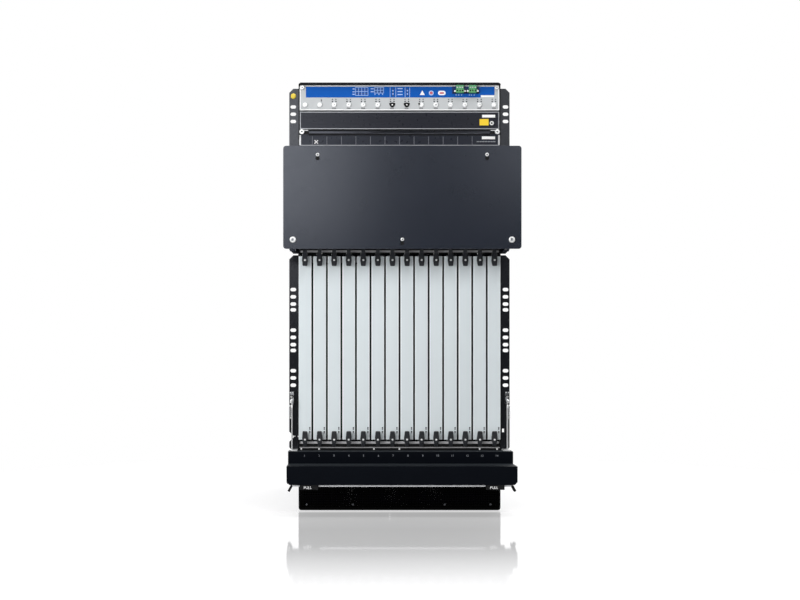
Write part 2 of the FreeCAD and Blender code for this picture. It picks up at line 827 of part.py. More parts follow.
def power_supply(x):
    half = supply_width / 2
    z0, z1 = supply_base, supply_base + supply_height
    face = box(x - half, x + half, body_depth, body_depth + supply_face_sheet, z0, z1)
    inner_half_width = half - supply_lap - panel_gap
    module = box(x - inner_half_width, x + inner_half_width, supply_front, body_depth,
                 z0 + supply_lap + panel_gap, z1 - supply_lap - panel_gap)
    face_back = body_depth + supply_face_sheet
    middle = (z0 + z1) / 2
    tab = box(x - supply_tab_sheet / 2, x + supply_tab_sheet / 2, face_back, face_back + supply_tab_reach,
              middle - supply_tab_height / 2, middle + supply_tab_height / 2)
    block_base = z0 + supply_block_rise
    block_half = supply_block_width / 2
    block = box(x - block_half, x + block_half, face_back, face_back + supply_block_depth,
                block_base, block_base + supply_block_height)
    return fuse([face, module, tab, block])


os.makedirs("parts", exist_ok=True)

save("chassis_shell", [chassis_shell()])
save("rack_flanges", rack_flanges())
save("card_cage", card_cage())
save("midplane", [midplane()])
save("line_cards", [line_card(x) for x in card_x])
save("craft_panel", [craft_panel()])
save("alarm_terminals", [alarm_terminal(x) for x in terminal_x])
save("esd_panel", [esd_panel()])
save("fan_trays", [fan_tray(upper_tray_base, tray_rib_count), fan_tray(lower_tray_base, 0)])
save("air_filter", [air_filter()])
save("vent_grilles", vent_grilles())
save("cover_plate", [cover_plate()])
save("cover_frame", [cover_frame()])
save("cable_manager", [cable_manager()])
save("support_arms", [support_arm(), mirrored(support_arm())])
save("right_pull_release", [pull_release(release_x)])
save("left_pull_release", [pull_release(-release_x)])
supply_first = -(supply_count - 1) / 2
save("power_supplies", [power_supply((supply_first + i) * supply_pitch) for i in range(supply_count)])
for number, x in enumerate(card_x, 1):
    save(f"lower_ejector_{number:02d}", [ejector(x, lower_pivot_z, 1, lower_lever_tip)])
    save(f"upper_ejector_{number:02d}", [ejector(x, upper_pivot_z, -1, upper_lever_tip)])
    save(f"slot_button_{number:02d}", [slot_button(x)])
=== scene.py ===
import json
import math
import bmesh
import bpy
from mathutils import Matrix, Vector


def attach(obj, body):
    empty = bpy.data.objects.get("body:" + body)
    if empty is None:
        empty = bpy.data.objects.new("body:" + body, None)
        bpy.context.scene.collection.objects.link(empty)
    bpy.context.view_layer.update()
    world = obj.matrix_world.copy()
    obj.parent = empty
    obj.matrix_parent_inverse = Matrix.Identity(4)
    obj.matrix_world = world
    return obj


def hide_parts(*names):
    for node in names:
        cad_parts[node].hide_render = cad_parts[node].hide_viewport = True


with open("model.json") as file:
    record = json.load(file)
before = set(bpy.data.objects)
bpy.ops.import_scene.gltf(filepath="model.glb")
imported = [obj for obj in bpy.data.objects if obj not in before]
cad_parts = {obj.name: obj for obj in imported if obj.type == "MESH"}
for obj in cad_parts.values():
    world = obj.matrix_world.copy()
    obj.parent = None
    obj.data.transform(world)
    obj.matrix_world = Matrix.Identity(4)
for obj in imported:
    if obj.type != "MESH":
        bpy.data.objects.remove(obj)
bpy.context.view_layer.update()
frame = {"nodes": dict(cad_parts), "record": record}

mm = 0.001
nodes = frame["nodes"]
groups = frame["record"]["behaviour"]["bodies"]
bodyOf = {node: group for group, members in groups.items() for node in members}
body = {"front": -8.0, "half": 220.6, "back": 584.0, "top": 933.45, "cardGap": 3.2, "cardFace": -10.0}
slotCount = 14
slotPitch = (2 * body["half"] + body["cardGap"]) / slotCount
slotX = [(i - (slotCount - 1) / 2) * slotPitch for i in range(slotCount)]
print("frame loaded")


def rgb(red, green, blue):  # screen values to light
    return [((v / 255 + 0.055) / 1.055) ** 2.4 if v > 10 else v / 3294.6 for v in (red, green, blue)] + [1]


def maths(operation, flipped=False):  # an operator that adds a Math node
    def apply(self, other=0.0):
        first, last = (other, self) if flipped else (self, other)
        return self.look.node("ShaderNodeMath", {"operation": operation}, {0: first, 1: last, 2: 0.0})
    return apply


class Wire:  # a socket that takes part in sums
    def __init__(self, look, socket):
        self.look = look
        self.socket = socket

    __add__ = maths("ADD")
    __radd__ = __add__
    __sub__ = maths("SUBTRACT")
    __rsub__ = maths("SUBTRACT", True)
    __mul__ = maths("MULTIPLY")
    __rmul__ = __mul__
    __gt__ = maths("GREATER_THAN")
    __lt__ = maths("LESS_THAN")
    __abs__ = maths("ABSOLUTE")
    __mod__ = maths("WRAP")  # always from 0 up to the other value


class Look:  # one procedural finish
    def __init__(self, name, fixed, tree=None):
        if tree is None:
            self.material = bpy.data.materials.new(name)
            self.material.use_nodes = True
            tree = self.material.node_tree
        self.tree = tree
        self.shader = tree.nodes.get("Principled BSDF")
        self.spot = self.node("ShaderNodeTexCoord", out="Object")
        self.set(fixed)

    def feed(self, socket, value):
        if isinstance(value, Wire):
            self.tree.links.new(value.socket, socket)
        else:
            socket.default_value = value

    def node(self, kind, settings=None, values=None, out=0):
        made = self.tree.nodes.new(kind)
        for name, value in (settings or {}).items():
            setattr(made, name, value)
        for key, value in (values or {}).items():
            self.feed(made.inputs[key], value)
        return Wire(self, made.outputs[out])

    def set(self, values):
        for key, value in values.items():
            self.feed(self.shader.inputs[key], value)

    def noise(self, size, detail=3.0, stretch=(1, 1, 1)):  # size of a blotch in mm
        scaled = self.node("ShaderNodeVectorMath", {"operation": "MULTIPLY"},
                           {0: self.spot, 1: [s / (size * mm) for s in stretch]})
        return self.node("ShaderNodeTexNoise", {}, {"Vector": scaled, "Scale": 1.0, "Detail": detail})

    def axis(self, index):  # one coordinate in mm
        return self.node("ShaderNodeSeparateXYZ", {}, {0: self.spot}, out=index) * (1 / mm)

    def ramp(self, wire, low, high, first, last):
        return self.node("ShaderNodeMapRange", {}, {0: wire, 1: low, 2: high, 3: first, 4: last})

    def tint(self, colour, shade):
        return self.node("ShaderNodeVectorMath", {"operation": "SCALE"}, {0: rgb(*colour)[:3], 3: shade})

    def mix(self, factor, first, last):
        return self.node("ShaderNodeMix", {"data_type": "RGBA"}, {0: factor, 6: first, 7: last}, out=2)

    def wear(self, base, rough, height, depth, strength=1.0):  # colour, roughness and relief
        relief = self.node("ShaderNodeBump", {}, {"Strength": strength, "Distance": depth * mm,
                                                  "Height": height})
        self.set({"Base Color": base, "Roughness": rough, "Normal": relief})
        return self


white = (1, 1, 1, 1)
slate = (0.87, 0.91, 1, 1)


def powderCoat(name, colour, rough=0.5, grain=1.2, depth=0.03, sheen=0.5, layers=(), mottle=0.06,
               glint=white):
    look = Look(name, {"Specular IOR Level": sheen, "Specular Tint": glint})
    peel = look.noise(grain, 2)
    cloud = look.noise(70, 3)
    rub = look.noise(9, 5)
    shade = look.ramp(cloud + 0.3 * (peel - 0.5), 0.3, 0.7, 1 - mottle, 1 + mottle)
    base = look.tint(colour, shade)
    for second, where in layers:
        base = look.mix(where(look), base, look.tint(second, shade))
    worn = look.ramp(rub, 0.3, 0.7, rough - 0.012, rough + 0.018)
    return look.wear(base, worn, peel, depth)


def brushedMetal(name, colour, rough=0.3, stretch=(0.02, 1, 1), grain=0.5, metal=1.0):
    look = Look(name, {"Metallic": metal})
    streak = look.noise(grain, 3, stretch)
    stain = look.noise(22, 4)
    shade = look.ramp(streak + 0.5 * stain, 0.5, 1.0, 0.88, 1.06)
    worn = look.ramp(streak + stain, 0.7, 1.3, rough - 0.07, rough + 0.09)
    return look.wear(look.tint(colour, shade), worn, streak, 0.012, 0.6)


def moulded(name, colour, rough, sheen=0.5):
    look = Look(name, {"Specular IOR Level": sheen})
    spark = look.noise(0.45, 2)
    flow = look.noise(6, 3)
    shade = look.ramp(flow + 0.4 * spark, 0.4, 1.0, 0.93, 1.07)
    worn = look.ramp(spark, 0.3, 0.7, rough - 0.05, rough + 0.07)
    return look.wear(look.tint(colour, shade), worn, spark, 0.03)


def printed(name, colour, rough=0.55, sheen=0.35):
    look = Look(name, {"Specular IOR Level": sheen})
    fibre = look.noise(0.7, 4)
    fade = look.noise(16, 3)
    shade = look.ramp(fade + 0.5 * fibre, 0.45, 1.05, 0.95, 1.04)
    worn = look.ramp(fibre, 0.3, 0.7, rough - 0.06, rough + 0.06)
    return look.wear(look.tint(colour, shade), worn, fibre, 0.01, 0.5)


def circuitBoard(name):
    look = Look(name, {"Specular IOR Level": 0.5})
    tracks = look.node("ShaderNodeTexWave", {"bands_direction": "Z"},
                       {"Vector": look.spot, "Scale": 160.0, "Distortion": 3.0, "Detail": 1.0}, out="Fac")
    copper = look.ramp(tracks, 0.55, 0.65, 0.0, 1.0)
    base = look.mix(copper, rgb(18, 58, 40), rgb(40, 92, 62))
    return look.wear(base, look.ramp(copper, 0, 1, 0.42, 0.3), copper, 0.03)


def filterMat(name):
    look = Look(name, {"Specular IOR Level": 0.1})
    cell = look.node("ShaderNodeTexVoronoi", {}, {"Vector": look.spot, "Scale": 420.0}, out="Distance")
    base = look.mix(look.ramp(cell, 0.1, 0.6, 0, 1), rgb(20, 20, 22), rgb(74, 75, 78))
    return look.wear(base, 0.95, cell, 0.6)


# where a finish changes, and where highlight and shade are painted, in mm
zones = {"fold": (2.8, 1.2), "skin": 0.3,
         "ledgeTop": 131.3, "ledgeZ": (105.2, 106.4), "ledgeY": (-104.0, -57.0),
         "bracketX": 230.0, "bracketY": -2.6, "bracketZ": (230.5, 259.2), "bracketShade": (1.0, 0.3),
         "lowStrip": (145.0, 150.2), "highStrip": (563.6, 568.2), "stripY": -5.0,
         "lip": (136.3, 140.0), "lipY": -11.0, "lipShare": 0.45}


def cardFolds(look):  # the folded long edges of each card catch the light
    across = (look.axis(0) + body["half"]) % slotPitch
    middle = (slotPitch - body["cardGap"]) / 2
    inner, outer = zones["fold"]
    return look.ramp(abs(across - middle), middle - inner, middle - outer, 0, 1)


def cardSideShade(look):  # painted shade: behind the front sheet a card is painted dark, so the gaps between cards look shadowed
    return look.axis(1) > body["cardFace"] + zones["skin"]


def within(wire, low, high):
    return (wire > low) * (wire < high)


def managerLedgeHighlights(look):  # painted highlight: the level faces of the cable manager are painted paler, where they catch the light
    y, z = look.axis(1), look.axis(2)
    return (z > zones["ledgeTop"]) + within(z, *zones["ledgeZ"]) * within(y, *zones["ledgeY"])


def trayRibs(look):  # ribs stand out of the tray front
    return look.axis(1) < body["front"] - zones["skin"]


def bracketPlates(look):  # bare plates of the arm brackets, the right one in shade
    x, y, z = look.axis(0), look.axis(1), look.axis(2)
    plate = (abs(x) > zones["bracketX"]) * (y < zones["bracketY"]) * within(z, *zones["bracketZ"])
    return plate * look.ramp(x, -1, 1, *zones["bracketShade"])


def sillStripsAndLipHighlight(look):  # bare strips of the two sills, and a painted highlight along the top of the lower sill's lip
    y, z = look.axis(1), look.axis(2)
    strips = within(z, *zones["lowStrip"]) + within(z, *zones["highStrip"])
    # painted highlight on the lip, at part strength
    lip = within(z, *zones["lip"]) * (y < zones["lipY"])
    return strips * (y > zones["stripY"]) + lip * zones["lipShare"]


looks = {  # colours in screen values
    "shell": powderCoat("shellPaint", (20, 21, 24), 0.48, 1.2, 0.012, 0.17),
    "flange": powderCoat("flangePaint", (9, 10, 15), 0.25, 1.2, 0.01, 0.54, glint=slate,
                         layers=(((150, 152, 156), bracketPlates),)),
    "cover": powderCoat("coverPaint", (25, 30, 41), 0.23, 0.9, 0.004, 0.56, mottle=0.04, glint=slate),
    # the manager's level faces carry a painted highlight
    "manager": powderCoat("managerPaint", (8, 11, 17), 0.5, 1.0, 0.02, 0.05,
                          layers=(((40, 44, 48), managerLedgeHighlights),)),
    "esd": powderCoat("panelPaint", (25, 26, 34), 0.28, 1.0, 0.005, 0.27, glint=slate),
    "silver": powderCoat("silverPaint", (192, 195, 197), 0.55, 0.8, 0.01, 0.15, mottle=0.02),
    # the cards' sides behind the front sheet carry painted shade
    "card": powderCoat("cardPaint", (215, 223, 226), 0.45, 0.8, 0.01, 0.3, mottle=0.015,
                       layers=(((234, 240, 242), cardFolds), ((20, 22, 25), cardSideShade))),
    "supply": powderCoat("supplyPaint", (58, 60, 64), 0.45),
    "tray": powderCoat("trayPaint", (28, 31, 41), 0.28, 1.0, 0.005, 0.27, glint=slate,
                       layers=(((100, 102, 110), trayRibs),)),
    # bare sill strips, with a painted highlight on the lower lip
    "cage": powderCoat("cageSteel", (10, 10, 12), 0.3, 0.8, 0.01, 0.4,
                       layers=(((206, 206, 208), sillStripsAndLipHighlight),)),
    "pull": brushedMetal("pullSteel", (48, 50, 57), 0.17, (0.02, 1, 1), 0.5, 0.7),
    "arm": brushedMetal("armSteel", (214, 215, 216), 0.32, (1, 1, 0.03), metal=0.45),
    "steel": brushedMetal("screwSteel", (226, 227, 228), 0.24, (1, 1, 1), 0.3, 0.6),
    "bright": brushedMetal("brightSteel", (246, 247, 247), 0.3, (1, 1, 1), 0.3, 0.25),
    # bright rim steel carries painted highlights along panel and tray edges
    "rim": brushedMetal("rimHighlightSteel", (158, 160, 165), 0.35, (0.03, 1, 1), 0.5, 0.3),
    "edge": brushedMetal("edgeSteel", (214, 215, 217), 0.35, (1, 1, 0.03), 0.5, 0.3),
    "lever": moulded("leverPlastic", (38, 40, 44), 0.36),
    "button": moulded("buttonPlastic", (252, 253, 254), 0.35),
    "green": moulded("terminalPlastic", (92, 166, 104), 0.4),
    "deepGreen": moulded("terminalTop", (78, 148, 100), 0.4),
    "black": moulded("blackPlastic", (8, 8, 10), 0.5, sheen=0.3),
    "mesh": powderCoat("meshPaint", (4, 4, 4), 0.7, sheen=0.06),
    "blue": printed("blueInk", (15, 88, 178), 0.45, 0.1),
    "deepBlue": printed("deepBlueInk", (12, 46, 104), 0.4),
    "lens": moulded("lampLens", (62, 84, 130), 0.25),
    "pale": printed("paleInk", (176, 202, 238)),
    "white": printed("whiteInk", (250, 250, 250)),
    "dim": printed("dimInk", (150, 154, 160)),
    "grey": printed("greyInk", (96, 97, 102)),
    "ink": printed("darkInk", (52, 54, 62)),
    "yellow": printed("yellowInk", (244, 208, 52)),
    "rose": printed("roseInk", (200, 92, 108)),
    "plug": moulded("plugPlastic", (226, 200, 72), 0.4),
    "board": circuitBoard("boardLaminate"),
    "filter": filterMat("filterFoam"),
}
print("finishes made")

sides = {
    "front": ((1, 0, 0), (0, 0, 1), (0, -1, 0)),
    "rear": ((-1, 0, 0), (0, 0, 1), (0, 1, 0)),
    "right": ((0, 1, 0), (0, 0, 1), (1, 0, 0)),
    "left": ((0, -1, 0), (0, 0, 1), (-1, 0, 0)),
    "top": ((1, 0, 0), (0, 1, 0), (0, 0, 1)),
}


def seat(side, x=0.0, y=0.0, z=0.0):  # u and v along a face, w out of it
    turn = Matrix([Vector(axis) for axis in sides[side]]).transposed().to_4x4()
    return Matrix.Translation(Vector((x, y, z)) * mm) @ turn


def onPanel(x, z=0.0):
    return seat("front", x, body["front"], z)


def disc(u, v, radius, count=20):
    turns = [2 * math.pi * i / count for i in range(count)]
    return [(u + radius * math.cos(t), v + radius * math.sin(t)) for t in turns]


def rect(u0, u1, v0, v1, radius=0.0, steps=3):
    if not radius:
        return [(u0, v0), (u1, v0), (u1, v1), (u0, v1)]
    corners = ((u1 - radius, v0 + radius), (u1 - radius, v1 - radius),
               (u0 + radius, v1 - radius), (u0 + radius, v0 + radius))
    turns = [[math.radians(-90 + 90 * k + 90 * i / steps) for i in range(steps + 1)] for k in range(4)]
    return [(u + radius * math.cos(t), v + radius * math.sin(t))
            for (u, v), corner in zip(corners, turns) for t in corner]


def field(u, v, wide, tall, radius=0.0):  # a rectangle about its middle
    return rect(u - wide / 2, u + wide / 2, v - tall / 2, v + tall / 2, radius)


def about(u, half, v0, v1, radius=0.0):  # a rectangle to both sides of u
    return rect(u - half, u + half, v0, v1, radius)


def inset(outline, by):
    made = []
    for i, point in enumerate(outline):
        before, here, after = Vector(outline[i - 1]), Vector(point), Vector(outline[(i + 1) % len(outline)])
        first = Vector((before.y - here.y, here.x - before.x)).normalized()
        last = Vector((here.y - after.y, after.x - here.x)).normalized()
        moved = here + (first + last) * (by / max(0.3, 1 + first.dot(last)))
        made.append((moved.x, moved.y))
    return made


def at(outline, w):
    return [(u, v, w) for u, v in outline]


sharpAngle = math.radians(35)
roundedAngle = math.radians(40)
flatAngle = math.radians(1)


def put(name, data):
    made = bpy.data.objects.new(name, data)
    bpy.context.scene.collection.objects.link(made)
    return made


def show(name, data, rider, replaced):
    data.shade_smooth()
    data.set_sharp_from_angle(angle=sharpAngle)
    made = put(name, data)
    even = made.modifiers.new("evenShade", "WEIGHTED_NORMAL")  # flat faces stay flat beside rounded edges
    even.keep_sharp = True
    even.weight = 100
    if replaced:
        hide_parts(*replaced)
    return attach(made, rider)


class Piece:  # a mesh in the making, in mm on a seat
    def __init__(self, name):
        self.name = name
        self.mesh = bmesh.new()

    def loft(self, rings, place, paint=0, loop=False, cap=None):
        made = [[self.mesh.verts.new(place @ (Vector(p) * mm)) for p in ring] for ring in rings]
        pairs = list(zip(made, made[1:] + made[:1] if loop else made[1:]))
        faces = [self.mesh.faces.new((low[i], low[i - len(low) + 1], high[i - len(low) + 1], high[i]))
                 for low, high in pairs for i in range(len(low))]
        if not loop:
            faces += [self.mesh.faces.new(made[0][::-1]), self.mesh.faces.new(made[-1])]
        for face in faces:
            face.material_index = paint
        if cap is not None:
            faces[-1].material_index = cap

    def slab(self, outline, low, high, place, edge=0.0, paint=0):
        rings = [at(outline, low), at(outline, high - edge)]
        if edge:
            rings.append(at(inset(outline, edge), high))
        self.loft(rings, place, paint)

    def hoop(self, outer, inner, low, high, place, paint=0):
        self.loft([at(outer, low), at(outer, high), at(inner, high), at(inner, low)], place, paint, True)

    def lathe(self, profile, place, count=24, paint=0, cap=None):  # the profile in radius and height
        self.loft([at(disc(0, 0, r, count), w) for r, w in profile], place, paint, cap=cap)

    def screw(self, place, head, drive="cross", paint=0, count=24, cap=None):
        radius, height = head

        def socket(size):
            made = []
            for i in range(count):
                t = 2 * math.pi * i / count
                if drive == "hex":
                    r = 0.87 * size / math.cos((t + math.pi / 6) % (math.pi / 3) - math.pi / 6)
                else:
                    off = (t + math.pi / 4) % (math.pi / 2) - math.pi / 4
                    r = min(size / math.cos(off), 0.3 * size / max(0.02, abs(math.sin(off))))
                made.append((r * math.cos(t), r * math.sin(t)))
            return made

        rings = [at(disc(0, 0, radius * r, count), height * w)
                 for r, w in ((1, -0.2), (1, 0.55), (0.93, 0.85), (0.78, 1))]
        rings += [at(socket(0.55 * radius), height), at(socket(0.45 * radius), 0.35 * height)]
        self.loft(rings, place, paint, cap=cap)

    def knob(self, place, head, paint=0, cap=None, hollow=0.45, ribs=18):  # knurled captive screw
        radius, height = head
        count = ribs * 2

        def ring(size, w, knurl=0.0):
            turns = [2 * math.pi * i / count for i in range(count)]
            return [((size - knurl * (i % 2)) * math.cos(t), (size - knurl * (i % 2)) * math.sin(t), w)
                    for i, t in enumerate(turns)]

        self.loft([ring(radius * 0.95, -0.3), ring(radius, 0.4, 0.25), ring(radius, height - 0.5, 0.25),
                   ring(radius * 0.88, height), ring(radius * hollow, height),
                   ring(radius * hollow * 0.9, 0.4 * height)], place, paint, cap=cap)

    def word(self, text, size, place, paint=0, depth=0.12):
        curve = bpy.data.curves.new("word", "FONT")
        curve.body = text
        curve.size = size * mm
        curve.align_x = "CENTER"
        curve.align_y = "CENTER"
        curve.extrude = depth * mm / 2
        curve.resolution_u = 3
        holder = put("word", curve)
        bpy.context.view_layer.update()
        seen = holder.evaluated_get(bpy.context.evaluated_depsgraph_get())
        data = bpy.data.meshes.new_from_object(seen)
        data.transform(place)
        first = len(self.mesh.faces)
        self.mesh.from_mesh(data)
        self.mesh.faces.ensure_lookup_table()
        for face in self.mesh.faces[first:]:
            face.material_index = paint
        bpy.data.objects.remove(holder)
        bpy.data.curves.remove(curve)
        bpy.data.meshes.remove(data)

    def coil(self, place, radius, wire, length, turns):
        steps = 14 * turns
        rings = []
        for i in range(steps + 1):
            t = 2 * math.pi * turns * i / steps
            rings.append([((radius + a) * math.cos(t), (radius + a) * math.sin(t), length * i / steps + b)
                          for a, b in disc(0, 0, wire, 6)])
        self.loft(rings, place)

    def perforate(self, u0, u1, v0, v1, pitch, hole, thick, place, paint=0, base=0.0):
        margin = 4  # least plain border, both sides together
        columns = int((u1 - u0 - margin) / pitch)
        rows = int((v1 - v0 - margin) / pitch)
        left = (u0 + u1 - columns * pitch) / 2
        low = (v0 + v1 - rows * pitch) / 2
        half = pitch / 2
        square = [(half, 0), (half, half), (0, half), (-half, half),
                  (-half, 0), (-half, -half), (0, -half), (half, -half)]
        fresh = []
        for row in range(rows):
            for column in range(columns):
                u = left + (column + 0.5) * pitch
                v = low + (row + 0.5) * pitch
                outer = [(u + a, v + b) for a, b in square]
                inner = disc(u, v, hole / 2, 8)
                made = [[self.mesh.verts.new(place @ (Vector(p) * mm)) for p in ring]
                        for ring in (at(outer, thick), at(inner, thick), at(inner, base), at(outer, base))]
                fresh += [vert for ring in made for vert in ring]
                for near, far in zip(made, made[1:]):
                    for i in range(8):
                        face = self.mesh.faces.new((near[i], near[i - 7], far[i - 7], far[i]))
                        face.material_index = paint
        bmesh.ops.remove_doubles(self.mesh, verts=fresh, dist=0.01 * mm)
        grid = rect(left, left + columns * pitch, low, low + rows * pitch)
        self.hoop(rect(u0, u1, v0, v1), grid, base, thick, place, paint)

    def data(self, finishes):
        bmesh.ops.recalc_face_normals(self.mesh, faces=self.mesh.faces)
        made = bpy.data.meshes.new(self.name)
        self.mesh.to_mesh(made)
        self.mesh.free()
        for finish in finishes:
            made.materials.append(looks[finish].material)
        return made

    def done(self, finishes, rider="chassis", replaced=()):
        return show(self.name, self.data(finishes), rider, replaced)


def dress(node, finish, edge=0.4, steps=2, pick=None):  # a CAD solid with its outer edges rounded
    piece = Piece(node + ".shown")
    mesh = piece.mesh
    mesh.from_mesh(nodes[node].data)
    bmesh.ops.remove_doubles(mesh, verts=mesh.verts, dist=0.001 * mm)
    bmesh.ops.dissolve_limit(mesh, angle_limit=flatAngle, verts=mesh.verts, edges=mesh.edges)
    rounded = [e for e in mesh.edges if len(e.link_faces) == 2 and e.is_convex
               and e.calc_face_angle() > roundedAngle and e.calc_length() > 2.2 * edge * mm
               and (pick is None or pick([v.co / mm for v in e.verts]))]
    bmesh.ops.bevel(mesh, geom=rounded, offset=edge * mm, offset_type="OFFSET", segments=steps,
                    profile=0.5, affect="EDGES", clamp_overlap=True)
    return piece.done([finish], bodyOf[node], [node])


def onCardFace(ends):  # edges of a card's front, which are rounded more
    return all(abs(p.y - body["cardFace"]) < 0.05 for p in ends)


for node, finish in (("midplane", "board"), ("air_filter", "filter")):
    nodes[node].data.materials.clear()
    nodes[node].data.materials.append(looks[finish].material)
dress("chassis_shell", "shell", 0.5)
dress("rack_flanges", "flange", 0.35)
dress("card_cage", "cage")
dress("craft_panel", "silver", 0.5)
dress("esd_panel", "esd")
dress("fan_trays", "tray", 0.35)
dress("cover_plate", "cover", 0.6, 3)
dress("cover_frame", "cover")
dress("line_cards", "card", 1.2, 4, onCardFace)
dress("cable_manager", "manager", 0.55, 3)
dress("support_arms", "arm")
dress("left_pull_release", "black", 0.5)
dress("right_pull_release", "black", 0.5)
dress("power_supplies", "supply", 0.5)
print("solids dressed")

panelFace = onPanel(0)


# a thin bright frame round a panel: a painted highlight along its edges
def panelHighlightRim(name, outline, wide, high, finish):
    rim = Piece(name)
    rim.hoop(outline, inset(outline, wide), 0, high, panelFace)
    rim.done([finish])


# knurled screws whose hollow floor is painted dark: painted shade in the hollow
def thumbScrews(name, panel, hollowShadeFinish):
    screws = Piece(name)
    for x in panel["screws"]:
        screws.knob(onPanel(x, panel["screwZ"]), panel["knob"], 0, 1, panel["hollow"])
    screws.done(["bright", hollowShadeFinish])


craft = {
    "band": [(-204.7, 902.0), (177.4, 902.0), (177.4, 907.2),
             (207.6, 907.2), (207.6, 925.6), (-204.7, 925.6)],
    "blank": rect(178.2, 206.6, 902.6, 906.6),
    "recess": rect(114.6, 174.6, 909.9, 926.0),
    "rim": rect(-217.6, 217.6, 874.3, 928.9),
    "rimWidth": 1.8,
    # left, right, low, high, columns, rows
    "tables": ((-96.2, -69.0, 906.4, 924.0, 4, 2), (-54.6, -34.8, 911.6, 924.0, 3, 2),
               (-20.6, -8.2, 902.6, 924.0, 1, 3), (12.2, 22.2, 902.6, 924.0, 1, 3)),
    # left, right, heights
    "bars": ((-102.6, -98.0, (920.6, 914.2, 909.0)), (-63.0, -56.4, (921.0, 914.6)),
             (-4.2, 6.6, (921.4, 914.8, 908.4))),
    "barHalf": 1.0, "ticks": (-53.6, -45.0, -37.0), "tickHalf": 0.9, "tickZ": (907.6, 910.6),
    "print": (0.2, 0.36),  # back and front of the printed lines
    "line": 0.9, "lamp": 1.6, "lampRing": 0.3, "dot": 1.5,
    "terminalMarks": (123.6, 129.4, 135.6, 152.6, 157.2, 163.2), "markZ": 907.4, "mark": (2.4, 1.8),
    "screws": (-212.6, 212.6), "screwZ": 923.8, "hollow": 0.3,
    "knob": (4.4, 3.2),  # radius and height, as all heads
}
band = Piece("craftBand")
band.slab(craft["band"], 0, 0.25, panelFace, 0.08)
band.slab(craft["recess"], 0, 0.4, panelFace, 0.08, 1)
band.done(["blue", "deepBlue"])
label = Piece("craftLabel")
label.slab(craft["blank"], 0, 0.3, panelFace, 0.08)
label.done(["white"])
# the craft panel's edges get a painted highlight
panelHighlightRim("craftHighlightRim", craft["rim"], craft["rimWidth"], 0.35, "white")

tables = Piece("lampTables")
thin = craft["line"] / 2
for left, right, low, high, columns, rows in craft["tables"]:
    wide = (right - left) / columns
    tall = (high - low) / rows
    for column in range(columns + 1):
        x = left + column * wide
        tables.slab(about(x, thin, low, high), *craft["print"], panelFace)
    for row in range(rows + 1 if columns > 1 else 0):
        z = low + row * tall
        tables.slab(rect(left, right, z - thin, z + thin), *craft["print"], panelFace)
    for row in range(rows):
        for column in range(columns):
            x, z = left + (column + 0.5) * wide, low + (row + 0.5) * tall
            tables.slab(disc(x, z, craft["lamp"] + craft["lampRing"]), 0.2, 0.4, panelFace, 0, 1)
            tables.slab(disc(x, z, craft["lamp"]), 0.3, 0.7, panelFace, 0.3, 2)
            if columns == 1 and row:
                tables.slab(disc(x, z - tall / 2, craft["dot"]), 0.2, 0.4, panelFace)
for left, right, heights in craft["bars"]:
    for z in heights:
        bar = rect(left, right, z - craft["barHalf"], z + craft["barHalf"])
        tables.slab(bar, *craft["print"], panelFace)
for x in craft["ticks"]:
    tables.slab(about(x, craft["tickHalf"], *craft["tickZ"]), *craft["print"], panelFace)
for x in craft["terminalMarks"]:
    tables.slab(field(x, craft["markZ"], *craft["mark"]), 0.2, 0.5, panelFace)
tables.done(["pale", "deepBlue", "lens"])

icon = {"triangle": [(44.2, 907.4), (55.2, 907.4), (49.7, 917.6)],
        "disc": (69.3, 911.8), "radii": (5.3, 3.4),
        # left, right, low, high, corner, steps
        "oval": (84.0, 100.6, 907.0, 916.6, 4.7, 8), "bar": (87.3, 97.3, 909.9, 913.6, 1.8, 6),
        "flat": (0.2, 0.45), "raised": (0.3, 0.6), "proud": (0.3, 0.9)}  # back and front
icons = Piece("lampIcons")
outer, inner = icon["radii"]
icons.slab(icon["triangle"], *icon["flat"], panelFace, 0.1, 2)
icons.slab(disc(*icon["disc"], outer, 32), *icon["flat"], panelFace, 0.1)
icons.slab(disc(*icon["disc"], inner, 32), *icon["raised"], panelFace, 0.1, 1)
icons.slab(rect(*icon["oval"]), *icon["flat"], panelFace, 0.1, 2)
icons.slab(rect(*icon["bar"]), *icon["proud"], panelFace, 0.3, 1)
icons.done(["pale", "rose", "white"])

marks = {"lampZ": (893.4, 898.0), "lampSize": ((2.9, 2.6), (2.5, 2.0)), "lampApart": 3.8, "corner": 0.6,
         "captionZ": 878.2, "caption": ((-3.3, 2.0), (-0.6, 2.2), (2.4, 2.6)), "captionTall": 1.8,
         "first": 2, "singleZ": 895.6, "single": (2.4, 5.0)}
slotMarks = Piece("slotMarks")
for x in slotX[marks["first"]:]:
    for off in (-marks["lampApart"], marks["lampApart"]):
        for z, (wide, tall) in zip(marks["lampZ"], marks["lampSize"]):
            slotMarks.slab(field(x + off, z, wide, tall, marks["corner"]), 0, 0.35, panelFace, 0.15)
    for off, wide in marks["caption"]:
        caption = field(x + off, marks["captionZ"], wide, marks["captionTall"])
        slotMarks.slab(caption, 0, 0.2, panelFace, 0, 1)
single = field(slotX[1] + marks["lampApart"], marks["singleZ"], *marks["single"], marks["corner"])
slotMarks.slab(single, 0, 0.35, panelFace, 0.15, 1)
slotMarks.done(["ink", "grey"])

thumbScrews("craftScrews", craft, "ink")

